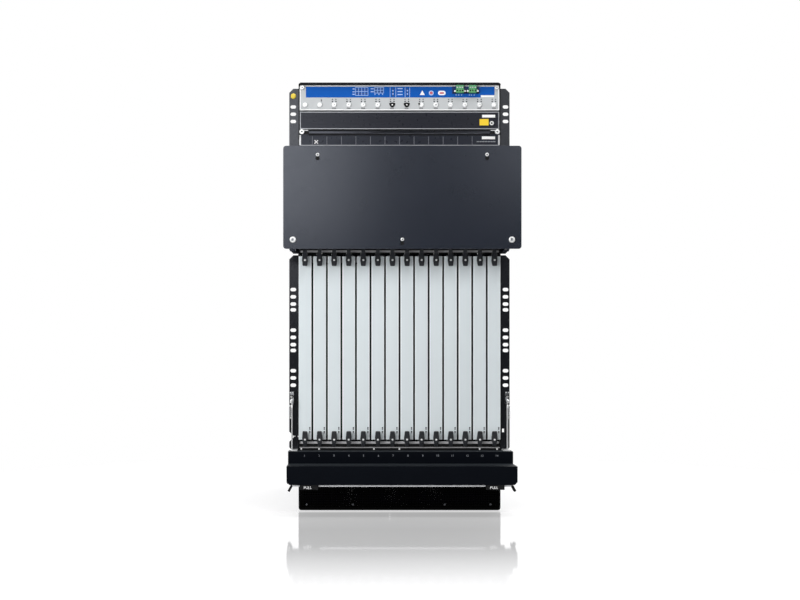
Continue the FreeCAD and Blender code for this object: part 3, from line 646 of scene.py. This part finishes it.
button = {"z": 885.65, "radius": 5.0, "back": 1.5, "front": -10.5, "shielded": (6, 7), "halfShield": 8,
          "numbered": (2, 3, 4, 5, 9, 10, 11, 12), "numeral": 4.4, "halfScale": (0.72, 0.86),
          "dot": ((1.5, -0.4), (1.4, 0.1)), "darkDeep": (-0.6, 0.1),
          "crown": ((4.8, 0.45), (4.3, 0.1), (3.4, 0.0), (2.4, 0.15), (1.2, 0.25))}  # radius, drop
shield = [(-7.0, 3.6), (-6.2, 0.2), (-3.6, -3.8), (0.0, -5.6), (3.6, -3.8),
          (6.2, 0.2), (7.0, 3.6), (4.0, 5.0), (0.0, 5.4), (-4.0, 5.0)]
depth = button["back"] - button["front"]
buttonForm = [(3.2, 0), (button["radius"], 0.4), (button["radius"], depth - 1.0)]
buttonForm += [(radius, depth - drop) for radius, drop in button["crown"]]
for index, x in enumerate(slotX):
    name = f"slot_button_{index + 1:02d}"
    face = seat("front", x, button["back"], button["z"])
    made = Piece(f"slotButton{index + 1:02d}")
    dark = 2 if index in button["shielded"] else 0
    made.lathe(buttonForm, face, 32, dark)
    if dark:
        made.lathe([(radius, depth + rise) for radius, rise in button["dot"]], face, 12)
    elif index in button["numbered"]:
        made.word(str(index + 1), button["numeral"], face @ Matrix.Translation((0, 0, depth * mm)), 1)
    if index == button["halfShield"]:
        across, up = button["halfScale"]
        darkHalf = [(u * across, v * up) for u, v in shield if u < 0]
        back, front = button["darkDeep"]
        made.slab(darkHalf, depth + back, depth + front, face, 0, 2)
    made.done(["button", "ink", "black"], bodyOf[name], [name])
shields = Piece("buttonShields")
for index in button["shielded"]:
    shields.slab([(slotX[index] + u, button["z"] + v) for u, v in shield], 0, 0.2, panelFace, 0.05)
x = slotX[button["halfShield"]]
shields.slab([(x + u, button["z"] + v) for u, v in shield if u <= 0], 0, 0.2, panelFace, 0.05)
shields.done(["black"])
print("craft panel made")

terminal = {"x": (131.6, 159.4), "low": 910.9, "split": 918.6, "high": 927.8, "half": 8.25, "corner": 0.6,
            "proud": 8.0, "step": 1.6, "poles": 3, "mouthHalf": 1.5, "mouthZ": (913.6, 917.4),
            "screwZ": 922.8, "ear": 10.9, "earHalf": 2.6, "earProud": 4.5, "earZ": (911.4, 918.4),
            "clampHead": (1.5, 0.5), "earHead": (2.2, 1.2)}
blocks = Piece("terminalBlocks")
half = terminal["half"]
stepProud = terminal["proud"] - terminal["step"]
for x in terminal["x"]:
    spot = onPanel(x)
    upper = about(0, half, terminal["split"] + 0.3, terminal["high"], terminal["corner"])
    lower = about(0, half, terminal["low"], terminal["split"], terminal["corner"])
    blocks.slab(upper, 0, stepProud, spot, 0.5, 4)
    blocks.slab(lower, 0, terminal["proud"], spot, 0.5)
    pole = 2 * half / terminal["poles"]
    for i in range(terminal["poles"]):
        u = -half + (i + 0.5) * pole
        # the wire mouths are painted black: painted shade in the openings
        mouth = about(u, terminal["mouthHalf"], *terminal["mouthZ"], 0.5)
        blocks.slab(mouth, 5, terminal["proud"] + 0.1, spot, 0.1, 1)
        clamp = seat("front", x + u, body["front"] - stepProud, terminal["screwZ"])
        blocks.screw(clamp, terminal["clampHead"], "cross", 2, 16)
    low, high = terminal["earZ"]
    for u in (-terminal["ear"], terminal["ear"]):
        ear = about(u, terminal["earHalf"], low, high, 0.8)
        blocks.slab(ear, 0, terminal["earProud"], spot, 0.4, 1)
        holder = seat("front", x + u, body["front"] - terminal["earProud"], (low + high) / 2)
        blocks.screw(holder, terminal["earHead"], "cross", 3, 16)
blocks.done(["green", "black", "steel", "bright", "deepGreen"],
            replaced=["alarm_terminals"])

esd = {"rim": rect(-217.6, 217.6, 832.9, 870.8), "rimWidth": 1.8, "white": (194.8, 861.2, 28.6, 6.0),
       "yellow": (184.8, 848.0, 19.8, 14.0), "jack": (201.5, 845.85),
       "jackForm": ((4.6, 0), (4.6, 1.4), (4.2, 2.0), (3.2, 2.1), (2.1, 1.8), (1.8, 0.3))}
stickers = Piece("panelStickers")
for paint, (x, z, wide, tall) in enumerate((esd["white"], esd["yellow"])):
    stickers.slab(field(x, z, wide, tall, 0.8), 0, 0.25, panelFace, 0.08, paint)
stickers.done(["white", "yellow"])
# the ESD panel's edges get a painted highlight
panelHighlightRim("panelHighlightRim", esd["rim"], esd["rimWidth"], 0.3, "rim")
jack = Piece("strapJack")
# the floor of the jack's hole is painted black: painted shade
jack.lathe(esd["jackForm"], onPanel(*esd["jack"]), 28, 0, 1)
jack.done(["bright", "black"])

tray = {"half": 198.6, "edge": 217.8, "rimZ": (796.85, 798.35), "shadowLineZ": (829.15, 830.65),
        "strip": (217.2, 1.8, 797.85, 820.1),  # middle, half width, low, high
        "barZ": (823.0, 828.7), "fillerZ": (818.15, 820.1), "floorZ": (819.6, 823.5),
        "barDeep": (-3.4, -0.1), "floorDeep": (-3.5, -2.9),
        "screws": (-213.4, 213.4), "screwZ": 826.6, "knob": (5.4, 5.0), "hollow": 0.36,
        # middle x and z, width, height
        "label": (194.3, 813.6, 28.8, 6.0), "faint": (189.0, 805.4, 42.0, 2.0),
        "tab": (203.9, 829.9, 9.4, 1.8), "shadowPatch": (203.6, 825.2, 8.8, 7.0), "faintCount": 7,
        "cross": (-182.0, 804.9, 5.2, 0.8)}  # middle x and z, half length and width of an arm
half = tray["half"]
# painted highlights along the tray's bottom and side edges, and a painted shadow line above the pull bar
trayEdgeHighlightsAndShadowLine = Piece("trayEdgeHighlightsAndShadowLine")
trayEdgeHighlightsAndShadowLine.slab(about(0, tray["edge"], *tray["rimZ"]), 0, 0.3, panelFace, 0.1)
trayEdgeHighlightsAndShadowLine.slab(about(0, half, *tray["shadowLineZ"]), 0, 0.2, panelFace, 0.05, 2)
x, stripHalf, low, high = tray["strip"]
for side in (-1, 1):
    trayEdgeHighlightsAndShadowLine.slab(about(side * x, stripHalf, low, high, 0.8), 0.1, 0.7, panelFace, 0.3, 1)
trayEdgeHighlightsAndShadowLine.done(["rim", "edge", "black"])
pull = Piece("trayPull")
pull.slab(about(0, half, *tray["barZ"], 1.0), *tray["barDeep"], panelFace, 0.6)
pull.slab(about(0, half, *tray["fillerZ"], 0.8), *tray["barDeep"], panelFace, 0.4, 1)
# black at the back of the groove: painted shade
pull.slab(about(0, half, *tray["floorZ"]), *tray["floorDeep"], panelFace, 0.2, 2)
for side in (-1, 1):
    # a black patch below each white tab: a painted shadow
    x, z, wide, tall = tray["shadowPatch"]
    pull.slab(field(side * x, z, wide, tall, 1.5), 0, 0.3, panelFace, 0.1, 2)
    x, z, wide, tall = tray["tab"]
    pull.slab(field(side * x, z, wide, tall, 0.7), 0, 0.9, panelFace, 0.3, 3)
pull.done(["pull", "esd", "black", "edge"])
thumbScrews("trayKnobs", tray, "grey")
trayMarks = Piece("trayMarks")
trayMarks.slab(field(*tray["label"], 0.6), 0, 1.4, panelFace, 0.08)
x, z, wide, tall = tray["faint"]
count = tray["faintCount"]
for i in range(count):
    stroke = field(x + wide * (i - (count - 1) / 2) / count, z, wide / count - 0.9, tall)
    trayMarks.slab(stroke, 0, 1.3, panelFace, 0, 1)
x, z, arm, half = tray["cross"]
for turn in (45, -45):
    place = onPanel(x, z) @ Matrix.Rotation(math.radians(turn), 4, "Z")
    trayMarks.slab(rect(-arm, arm, -half, half, 0.5), 0, 0.3, place)
trayMarks.done(["white", "dim"])
print("panels made")

cover = {"face": -140.0, "small": ((-176.0, 754.5), (176.0, 754.5), (0.0, 578.5)),
         "large": ((-227.4, 578.0), (227.4, 578.0)), "drop": 7.5,
         "smallHead": (3.7, 2.2), "largeHead": (6.5, 3.4), "shankForm": ((2.3, -6), (2.3, 0.2)),
         "holeShadeForm": ((4.1, -1.9), (4.1, -0.6), (1.2, -0.4))}
# socket floors painted darker and a black disc in each keyhole: painted shade
screws = Piece("coverScrews")
for x, z in cover["small"]:
    spot = seat("front", x, cover["face"], z)
    screws.screw(spot, cover["smallHead"], "hex", 0, 24, 1)
    screws.lathe(cover["shankForm"], spot, 12)
    keyhole = seat("front", x, cover["face"], z - cover["drop"])  # painted shade: a black disc inside its round end
    screws.lathe(cover["holeShadeForm"], keyhole, 24, 2)
for x, z in cover["large"]:
    screws.screw(seat("front", x, cover["face"], z), cover["largeHead"], "hex", 0, 36, 3)
screws.done(["bright", "grey", "black", "dim"])

lever = {"slot": 2.4, "slotFront": 9.0, "reach": 6.0, "pin": (1.1, 5.6), "head": (2.1, 1.3), "sink": 0.2,
         "lower": {"pivot": 150.0, "up": 1, "tip": 23.5, "shoulder": 8.5, "screw": 5.0, "belly": 0.3},
         "upper": {"pivot": 559.2, "up": -1, "tip": 26.5, "shoulder": 14.0, "screw": 13.5, "belly": 0.5}}
# rise, half width, back and front reach from the card, slot open
leverHead = ((-4.0, 3.9, 1.7, 10.2, 1), (-3.4, 4.6, 1.3, 10.9, 1), (-2.0, 4.9, 1.2, 11.2, 1))
# the same along the tail, with the rise as a share of it
leverTail = ((-0.25, 5.9, 1.2, 11.2, 1), (0.0, 6.1, 1.2, 11.2, 1), (0.17, 5.9, 1.2, 11.1, 1),
             (0.37, 5.6, 2.4, 11.2, 1), (0.54, 5.4, 4.0, 11.5, 1), (0.54, 5.4, 4.0, 11.5, 0),
             (0.7, 5.3, 6.6, 12.2, 0), (0.83, 5.2, 7.8, 12.7, 0), (0.93, 4.9, 8.4, 12.8, 0),
             (0.98, 4.2, 8.9, 12.6, 0), (1.0, 3.2, 9.3, 12.2, 0))
# half width, back and front reach, rise
leverClaw = ((3.0, 4.4, 7.4, -10.0), (4.0, 3.8, 8.4, -9.2), (4.3, 3.4, 9.4, -3.9))


def leverRing(rise, half, back, front, opened):
    soft = min(1.6, half * 0.5, (front - back) * 0.4)
    ring = [(lever["slot"] if half > lever["slot"] + soft else half - soft - 0.1, back)]
    for u, v, start in ((half - soft, back + soft, -90), (half - soft, front - soft, 0),
                        (-half + soft, front - soft, 90), (-half + soft, back + soft, 180)):
        for i in range(4):
            t = math.radians(start + 30 * i)
            ring.append((u + soft * math.cos(t), v + soft * math.sin(t)))
    ring.append((-ring[0][0], back))
    inner = lever["slotFront"] if opened else back
    ring += [(-ring[0][0], inner), (ring[0][0], inner)]
    return [(u, v, rise) for u, v in ring]


for end in ("lower", "upper"):
    size = lever[end]
    # u across, v out of the card, w along the lever
    turn = Matrix(((1, 0, 0, 0), (0, -1, 0, body["cardFace"] * mm),
                   (0, 0, size["up"], size["pivot"] * mm), (0, 0, 0, 1)))
    made = Piece(end + "Lever")
    tail = size["tip"] - size["shoulder"]
    made.loft([leverRing(*row) for row in leverHead]
              + [leverRing(size["shoulder"] + share * tail, half + size["belly"] * (1 - abs(share)), *rest)
                 for share, half, *rest in leverTail], turn)
    made.loft([at(about(0, half, back, front, 0.6), rise) for half, back, front, rise in leverClaw], turn)
    axle = Matrix.Translation((0, (body["cardFace"] - lever["reach"]) * mm, size["pivot"] * mm))
    radius, half = lever["pin"]
    made.lathe([(radius, -half), (radius, half)], axle @ Matrix.Rotation(math.pi / 2, 4, "Y"), 16, 1)
    screwZ = size["pivot"] + size["up"] * size["screw"]
    spot = seat("front", 0, body["cardFace"] - leverHead[2][3] + lever["sink"], screwZ)
    made.screw(spot, lever["head"], "cross", 1, 20)
    leverData = made.data(["lever", "bright"])
    for index, x in enumerate(slotX):
        name = f"{end}_ejector_{index + 1:02d}"
        shown = show(f"{end}Lever{index + 1:02d}", leverData, bodyOf[name], [name])
        shown.location.x = x * mm
print("levers made")

cardPrint = {"x": 10.2, "strokes": ((168.4, 1.8), (170.8, 2.8), (176.2, 2.6), (179.4, 2.4)), "wide": 2.8}
cardMarks = Piece("cardMarks")
cardFront = seat("front", 0, body["cardFace"])
for x in slotX:
    for z, tall in cardPrint["strokes"]:
        stroke = about(x + cardPrint["x"], cardPrint["wide"] / 2, z, z + tall)
        cardMarks.slab(stroke, 0, 0.15, cardFront)
cardMarks.done(["ink"])

sill = {"lipFront": -13.0, "screwZ": 134.2, "screws": (-214.6, -175.9, -56.0, -0.6, 174.4, 212.6),
        "head": (2.0, 0.9)}
sillScrews = Piece("sillScrews")
for x in sill["screws"]:
    sillScrews.screw(seat("front", x, sill["lipFront"], sill["screwZ"]), sill["head"], "cross", 0, 16)
sillScrews.done(["bright"])

manager = {"wall": -59.0, "numeralZ": 123.0, "numeral": 6.4,
           "strip": (-122.0, 63.2, 66.6, 174.6),  # y, low, high, half width
           "ends": (214.0, 229.0), "front": -127.0, "words": (-197.0, 192.0), "wordZ": 61.4, "word": 7.6}
numerals = Piece("managerNumerals")
for index, x in enumerate(slotX):
    spot = seat("front", x, manager["wall"], manager["numeralZ"])
    numerals.word(str(index + 1), manager["numeral"], spot)
numerals.done(["dim"], "cable_manager")
y, low, high, half = manager["strip"]
lip = Piece("managerLip")
lipFace = seat("front", 0, y)
lip.slab(about(0, half, low, high, 0.6), -0.1, 0.4, lipFace, 0.2)
for side in (-1, 1):
    left, right = sorted(side * x for x in manager["ends"])
    lip.slab(rect(left, right, low, high, 0.6), -0.1, 0.4, lipFace, 0.2)
lip.done(["edge"], "cable_manager")
tab = {"foot": (229.75, 67.0), "tip": (236.75, 54.0), "from": 0.2, "to": 1.03, "half": 2.1,
       "y": -104.6, "long": 18.0}
foot, tip = Vector(tab["foot"]), Vector(tab["tip"])
aside = (tip - foot).orthogonal().normalized() * tab["half"]
first, last = foot.lerp(tip, tab["from"]), foot + (tip - foot) * tab["to"]
sleeves = Piece("tabSleeves")
for side in (-1, 1):
    outline = [(side * p.x, p.y) for p in (first + aside, last + aside, last - aside, first - aside)]
    sleeves.slab(outline if side > 0 else outline[::-1], 0, tab["long"], seat("front", 0, tab["y"]), 0.4)
sleeves.done(["black"], "cable_manager")
for name, x in zip(("left_pull_release", "right_pull_release"), manager["words"]):
    made = Piece(name.replace("_pull_release", "PullWord"))
    made.word("PULL", manager["word"], seat("front", x, manager["front"], manager["wordZ"]))
    made.done(["white"], bodyOf[name])

plug = {"at": (-232.0, -2.3, 906.0), "form": ((6.0, 0), (6.0, 1.2), (5.4, 2.2), (4.0, 3.0), (2.0, 3.4))}
flangePlug = Piece("flangePlug")
flangePlug.lathe(plug["form"], seat("front", *plug["at"]), 28)
flangePlug.done(["plug"])

hinge = {"y": -14.0, "z": 238.0, "pinEnd": 236.6, "ear": 231.2, "plate": -3.9, "hub": (236.2, 247.6),
         "hubHead": (2.2, 2.4), "blockDeep": (5.6, 7.4),
         "block": (233.1, 236.3, 223.5, 230.5), "rivets": ((239.0, 257.0), (233.4, 257.0), (239.0, 235.2)),
         "spring": {"x": 238.7, "z": (203.0, 228.0), "radius": 2.2, "wire": 0.6, "turns": 6,
                    "anchor": ((1.1, -1.6), (1.1, 3.6), (0.8, 4.0)), "anchorX": 236.3, "beyond": 1.0},
         "pinForm": ((3.6, -0.2), (3.6, 1.0), (2.8, 1.8)),
         "rivetForm": ((1.2, -0.2), (1.2, 0.3), (0.8, 0.7)),
         "hubForm": ((4.4, -0.2), (4.4, 0.8), (4.0, 1.2), (2.4, 1.2)),
         "washerForm": ((4.2, -0.1), (4.2, 1.6), (3.4, 2.2), (1.6, 2.3), (1.4, 1.6))}
pins = Piece("armPins")
for side, sign in (("left", -1), ("right", 1)):
    pins.lathe(hinge["pinForm"], seat(side, sign * hinge["pinEnd"], hinge["y"], hinge["z"]), 20)
    x, z = hinge["hub"]
    hub = seat("front", sign * x, hinge["plate"], z)
    pins.lathe(hinge["hubForm"], hub, 28, 1)
    pins.screw(hub, hinge["hubHead"], "hex", 0, 24)
    for x, z in hinge["rivets"]:
        pins.lathe(hinge["rivetForm"], seat("front", sign * x, hinge["plate"], z), 14)
    inner = seat("left" if sign > 0 else "right", sign * hinge["ear"], hinge["y"], hinge["z"])
    pins.lathe(hinge["washerForm"], inner, 20, 1)
pins.done(["bright", "black"])
joint = {"x": (-232.0, -222.4), "y": (0.1, 1.7), "z": (147.0, 177.0), "screw": (-229.6, 161.7),
         "head": (1.9, 1.4)}
flangeJoint = Piece("flangeJoint")
back = seat("front", 0, joint["y"][1])
flangeJoint.slab(rect(*joint["x"], *joint["z"], 1.5), 0, joint["y"][1] - joint["y"][0], back, 0.2)
x, z = joint["screw"]
flangeJoint.screw(seat("front", x, joint["y"][0], z), joint["head"], "cross", 1, 16)
flangeJoint.done(["flange", "bright"])
spring = hinge["spring"]
springs = Piece("armSprings")
low, high = spring["z"]
for sign in (-1, 1):
    upright = Matrix.Translation(Vector((sign * spring["x"], hinge["y"], low)) * mm)
    springs.coil(upright, spring["radius"], spring["wire"], high - low, spring["turns"])
    side = "right" if sign > 0 else "left"
    for z in (low - spring["beyond"], high + spring["beyond"]):
        springs.lathe(spring["anchor"], seat(side, sign * spring["anchorX"], hinge["y"], z), 12)
    x0, x1, z0, z1 = hinge["block"]
    left, right = sorted((sign * x0, sign * x1))
    block = rect(left, right, z0, z1, 0.6)
    springs.slab(block, *hinge["blockDeep"], seat("front", 0, hinge["y"]), 0.4, 1)
springs.done(["steel", "bright"], "cable_manager")
print("manager made")

vents = {
    # left, right, low, high, pitch, hole
    "intake": (-218.0, 218.0, 2.4, 66.0, 5.2, 3.7),
    "exhaust": (-218.0, 218.0, 574.4, 793.7, 8.0, 5.8),
    "rear": (-204.0, 204.0, 594.1, 774.2, 6.4, 4.8),
    "sheet": 1.5, "screws": (-203.0, -102.0, 99.0, 199.0), "screwZ": 12.6, "head": (2.2, 0.8),
}
grilles = Piece("intakeSheet")
grilles.perforate(*vents["intake"], vents["sheet"], seat("front", 0, body["front"] + vents["sheet"]))
for x in vents["screws"]:
    grilles.screw(onPanel(x, vents["screwZ"]), vents["head"], "cross", 1, 16)
grilles.done(["mesh", "grey"], replaced=["vent_grilles"])
exhaust = Piece("exhaustSheets")
exhaust.perforate(*vents["exhaust"], vents["sheet"], seat("front", 0, body["front"] + vents["sheet"]))
exhaust.perforate(*vents["rear"], vents["sheet"], seat("rear", 0, body["back"]))
exhaust.done(["shell"], replaced=["vent_grilles"])
screen = {"wide": 192.0, "tall": 82.0, "deep": 16.0, "gap": 0.4, "slat": 0.3}
low, high, pitch = vents["rear"][2:5]
middle = (low + high) / 2
crate = Piece("exhaustScreen")  # crossed slats behind the webs of the rear sheet
behind = seat("rear", 0, body["back"])
for i in range(int(screen["wide"] / pitch)):
    for u in (-(i + 0.5) * pitch, (i + 0.5) * pitch):
        upright = about(u, screen["slat"], middle - screen["tall"], middle + screen["tall"])
        crate.slab(upright, -screen["deep"], -screen["gap"], behind)
for i in range(int(screen["tall"] / pitch)):
    for v in (middle - (i + 0.5) * pitch, middle + (i + 0.5) * pitch):
        level = about(0, screen["wide"], v - screen["slat"], v + screen["slat"])
        crate.slab(level, -screen["deep"], -screen["gap"], behind)
crate.done(["shell"])
print("grilles made")

supply = {"x": (-157.5, -52.5, 52.5, 157.5), "face": 586.0, "knob": (44.0, (49.0, 331.0)),
          "knobHead": (4.2, 7.0), "studHead": (3.6, 1.7),
          "vent": (-40, 40, 238, 316), "mesh": (5.0, 3.8, 1.2),  # pitch, hole, sheet
          "lamps": (-34.0, -26.0, -18.0), "lampZ": 228.0,
          "lampForm": ((2.4, 0), (2.4, 0.8), (1.8, 1.0), (1.6, 1.6), (0.9, 2.0)),
          "block": 600.0, "studs": (-21.0, -7.0, 7.0, 21.0), "studZ": 74.0,
          "walls": (-14.0, 0.0, 14.0), "wallHalf": 0.6, "wallZ": (60, 88)}
trim = Piece("supplyTrim")
# painted shade: black floors in the knob hollows and stud sockets, and a black sheet behind each vent's
# holes
for x in supply["x"]:
    spot = seat("rear", x, supply["face"])
    reach, heights = supply["knob"]
    for z in heights:
        for u in (-reach, reach):
            trim.knob(seat("rear", x - u, supply["face"], z), supply["knobHead"], 0, 2)
    trim.slab(rect(*supply["vent"]), 0, 0.2, spot, 0, 2)
    trim.perforate(*supply["vent"], *supply["mesh"], spot, 1, 0.3)
    for u in supply["lamps"]:
        trim.lathe(supply["lampForm"], seat("rear", x - u, supply["face"], supply["lampZ"]), 16, 3)
    for u in supply["studs"]:
        stud = seat("rear", x - u, supply["block"], supply["studZ"])
        trim.screw(stud, supply["studHead"], "hex", 0, 24, 2)
    for u in supply["walls"]:
        wall = about(u, supply["wallHalf"], *supply["wallZ"])
        trim.slab(wall, 0, 1.6, seat("rear", x, supply["block"]), 0.3, 2)
trim.done(["steel", "supply", "black", "green"])

rivet = {"sideY": (16.0, 568.0), "sideZ": [60.0 + 84 * i for i in range(11)],
         "shelfZ": (131.0, 573.0, 795.0), "shelfY": (110.0, 200.0, 290.0, 380.0, 470.0),
         "rearX": (-212.0, 0.0, 212.0), "rearZ": (20.0, 366.0, 582.0, 790.0, 912.0),
         "topX": (-190.0, -64.0, 64.0, 190.0), "topY": (20.0, 290.0, 560.0),
         "radius": 2.6, "height": 0.8, "rearHead": (3.2, 1.3)}
rivets = Piece("shellRivets")
domeShares = ((1, -0.2), (1, 0.25), (0.8, 0.75), (0.4, 1))
dome = [(rivet["radius"] * r, rivet["height"] * w) for r, w in domeShares]
for side, sign in (("left", -1), ("right", 1)):
    spots = [(y, z) for y in rivet["sideY"] for z in rivet["sideZ"]]
    spots += [(y, z) for y in rivet["shelfY"] for z in rivet["shelfZ"]]
    for y, z in spots:
        rivets.lathe(dome, seat(side, sign * body["half"], y, z), 14)
for x in rivet["rearX"]:
    for z in rivet["rearZ"]:
        rivets.screw(seat("rear", x, body["back"], z), rivet["rearHead"], "cross", 1, 20)
for x in rivet["topX"]:
    for y in rivet["topY"]:
        rivets.lathe(dome, seat("top", x, y, body["top"]), 14)
rivets.done(["shell", "steel"])
print("rear and sides made")

studio = {"lift": 0.64, "mirror": 0.53, "mirrorY": (-1000, -520), "mirrorNear": (-300, 0),
          "nearShare": 0.75, "mirrorEnd": (-52, -20), "mirrorX": (270, 330), "fade": (800, 1500),
          "ambient": 0.19, "front": 0.14, "turn": (-0.6, 0.5), "floor": 6.0, "floorZ": -0.0005}
ground = Look("floorPaper", {"Roughness": 0.7, "Specular IOR Level": 0.1, "Emission Strength": 1.0})
lightPath = "ShaderNodeLightPath"
paper = ground.ramp(ground.noise(400, 2), 0.3, 0.7, 0.99, 1.01)
ground.set({"Base Color": ground.tint((168, 168, 169), paper),
            "Emission Color": ground.node(lightPath, out="Is Camera Ray") * studio["lift"]})
gloss = ground.node("ShaderNodeBsdfGlossy", {}, {"Color": white, "Roughness": 0.05})
y = ground.axis(1)
mirror = ground.ramp(y, *studio["mirrorY"], 0, studio["mirror"])
mirror = mirror * ground.ramp(y, *studio["mirrorEnd"], 1, 0)
mirror = mirror * ground.ramp(abs(ground.axis(0)), *studio["mirrorX"], 1, 0)
mirror = mirror * ground.ramp(y, *studio["mirrorNear"], 1, studio["nearShare"])
away = ground.node("ShaderNodeVectorMath", {"operation": "LENGTH"}, {0: ground.spot}, out="Value")
fade = ground.ramp(away * (1 / mm), *studio["fade"], 0, 1)
gone = ground.node("ShaderNodeBsdfTransparent")
matt = Wire(ground, ground.shader.outputs[0])
polished = ground.node("ShaderNodeMixShader", {}, {0: mirror, 1: matt, 2: gloss})
blended = ground.node("ShaderNodeMixShader", {}, {0: fade, 1: polished, 2: gone})
ground.feed(ground.tree.nodes["Material Output"].inputs["Surface"], blended)
bpy.ops.mesh.primitive_plane_add(size=studio["floor"], location=(0, 0, studio["floorZ"]))
floor = bpy.context.object
floor.name = "floor"
floor.data.materials.append(ground.material)

world = bpy.data.worlds.new("studio")
bpy.context.scene.world = world
world.use_nodes = True
sky = Look("studio", {}, world.node_tree)
facing = sky.node("ShaderNodeTexCoord", out="Generated")
forward = sky.node("ShaderNodeSeparateXYZ", {}, {0: facing}, out=1)
seen = sky.node(lightPath, out="Is Camera Ray")
glossy = sky.node(lightPath, out="Is Glossy Ray")
around = sky.ramp(forward, *studio["turn"], studio["front"], 1.0)
level = (1 - glossy) * studio["ambient"] + glossy * around
backdrop = world.node_tree.nodes["Background"]
backdrop.inputs["Color"].default_value = white
sky.feed(backdrop.inputs["Strength"], seen + (1 - seen) * level)


def softbox(name, spot, aim, size, power, mirrored):
    lamp = bpy.data.lights.new(name, "AREA")
    lamp.shape = "RECTANGLE"
    lamp.size, lamp.size_y = size
    lamp.energy = power
    holder = put(name, lamp)
    holder.location = spot
    holder.visible_glossy = mirrored
    holder.rotation_euler = (Vector(aim) - Vector(spot)).to_track_quat("-Z", "Y").to_euler()


lamps = {
    # place, aim, size, power, seen in reflections
    "key": ((-1.9, -1.7, 0.66), (0, 0, 0.5), (1.9, 1.3), 52, False),
    "front": ((-0.56, -2.7, 1.33), (-0.1, 0, 0.7), (0.9, 1.0), 12, True),
    "fill": ((0.85, -2.6, 1.5), (0.1, 0, 0.85), (0.8, 0.9), 5, True),
    "crown": ((0.3, -0.5, 1.9), (0.1, 0, 0.9), (0.5, 0.4), 6, True),
    "top": ((0.0, 0.1, 3.0), (0, 0, 0), (2.4, 2.0), 52, True),
    "back": ((0.5, 2.6, 2.2), (0, 0.4, 0.5), (2.0, 1.4), 50, True),
}
for name, settings in lamps.items():
    softbox(name, *settings)

view = {"spot": (-0.117, -2.637, 0.326), "lens": 54.13, "shift": (0.0675, 0.0763)}
camera = put("camera", bpy.data.cameras.new("camera"))
camera.location = view["spot"]
camera.rotation_euler = (math.pi / 2, 0, 0)
camera.data.lens = view["lens"]
camera.data.shift_x, camera.data.shift_y = view["shift"]
bpy.context.scene.camera = camera
bpy.context.scene.view_settings.view_transform = "Standard"

print("stage set")
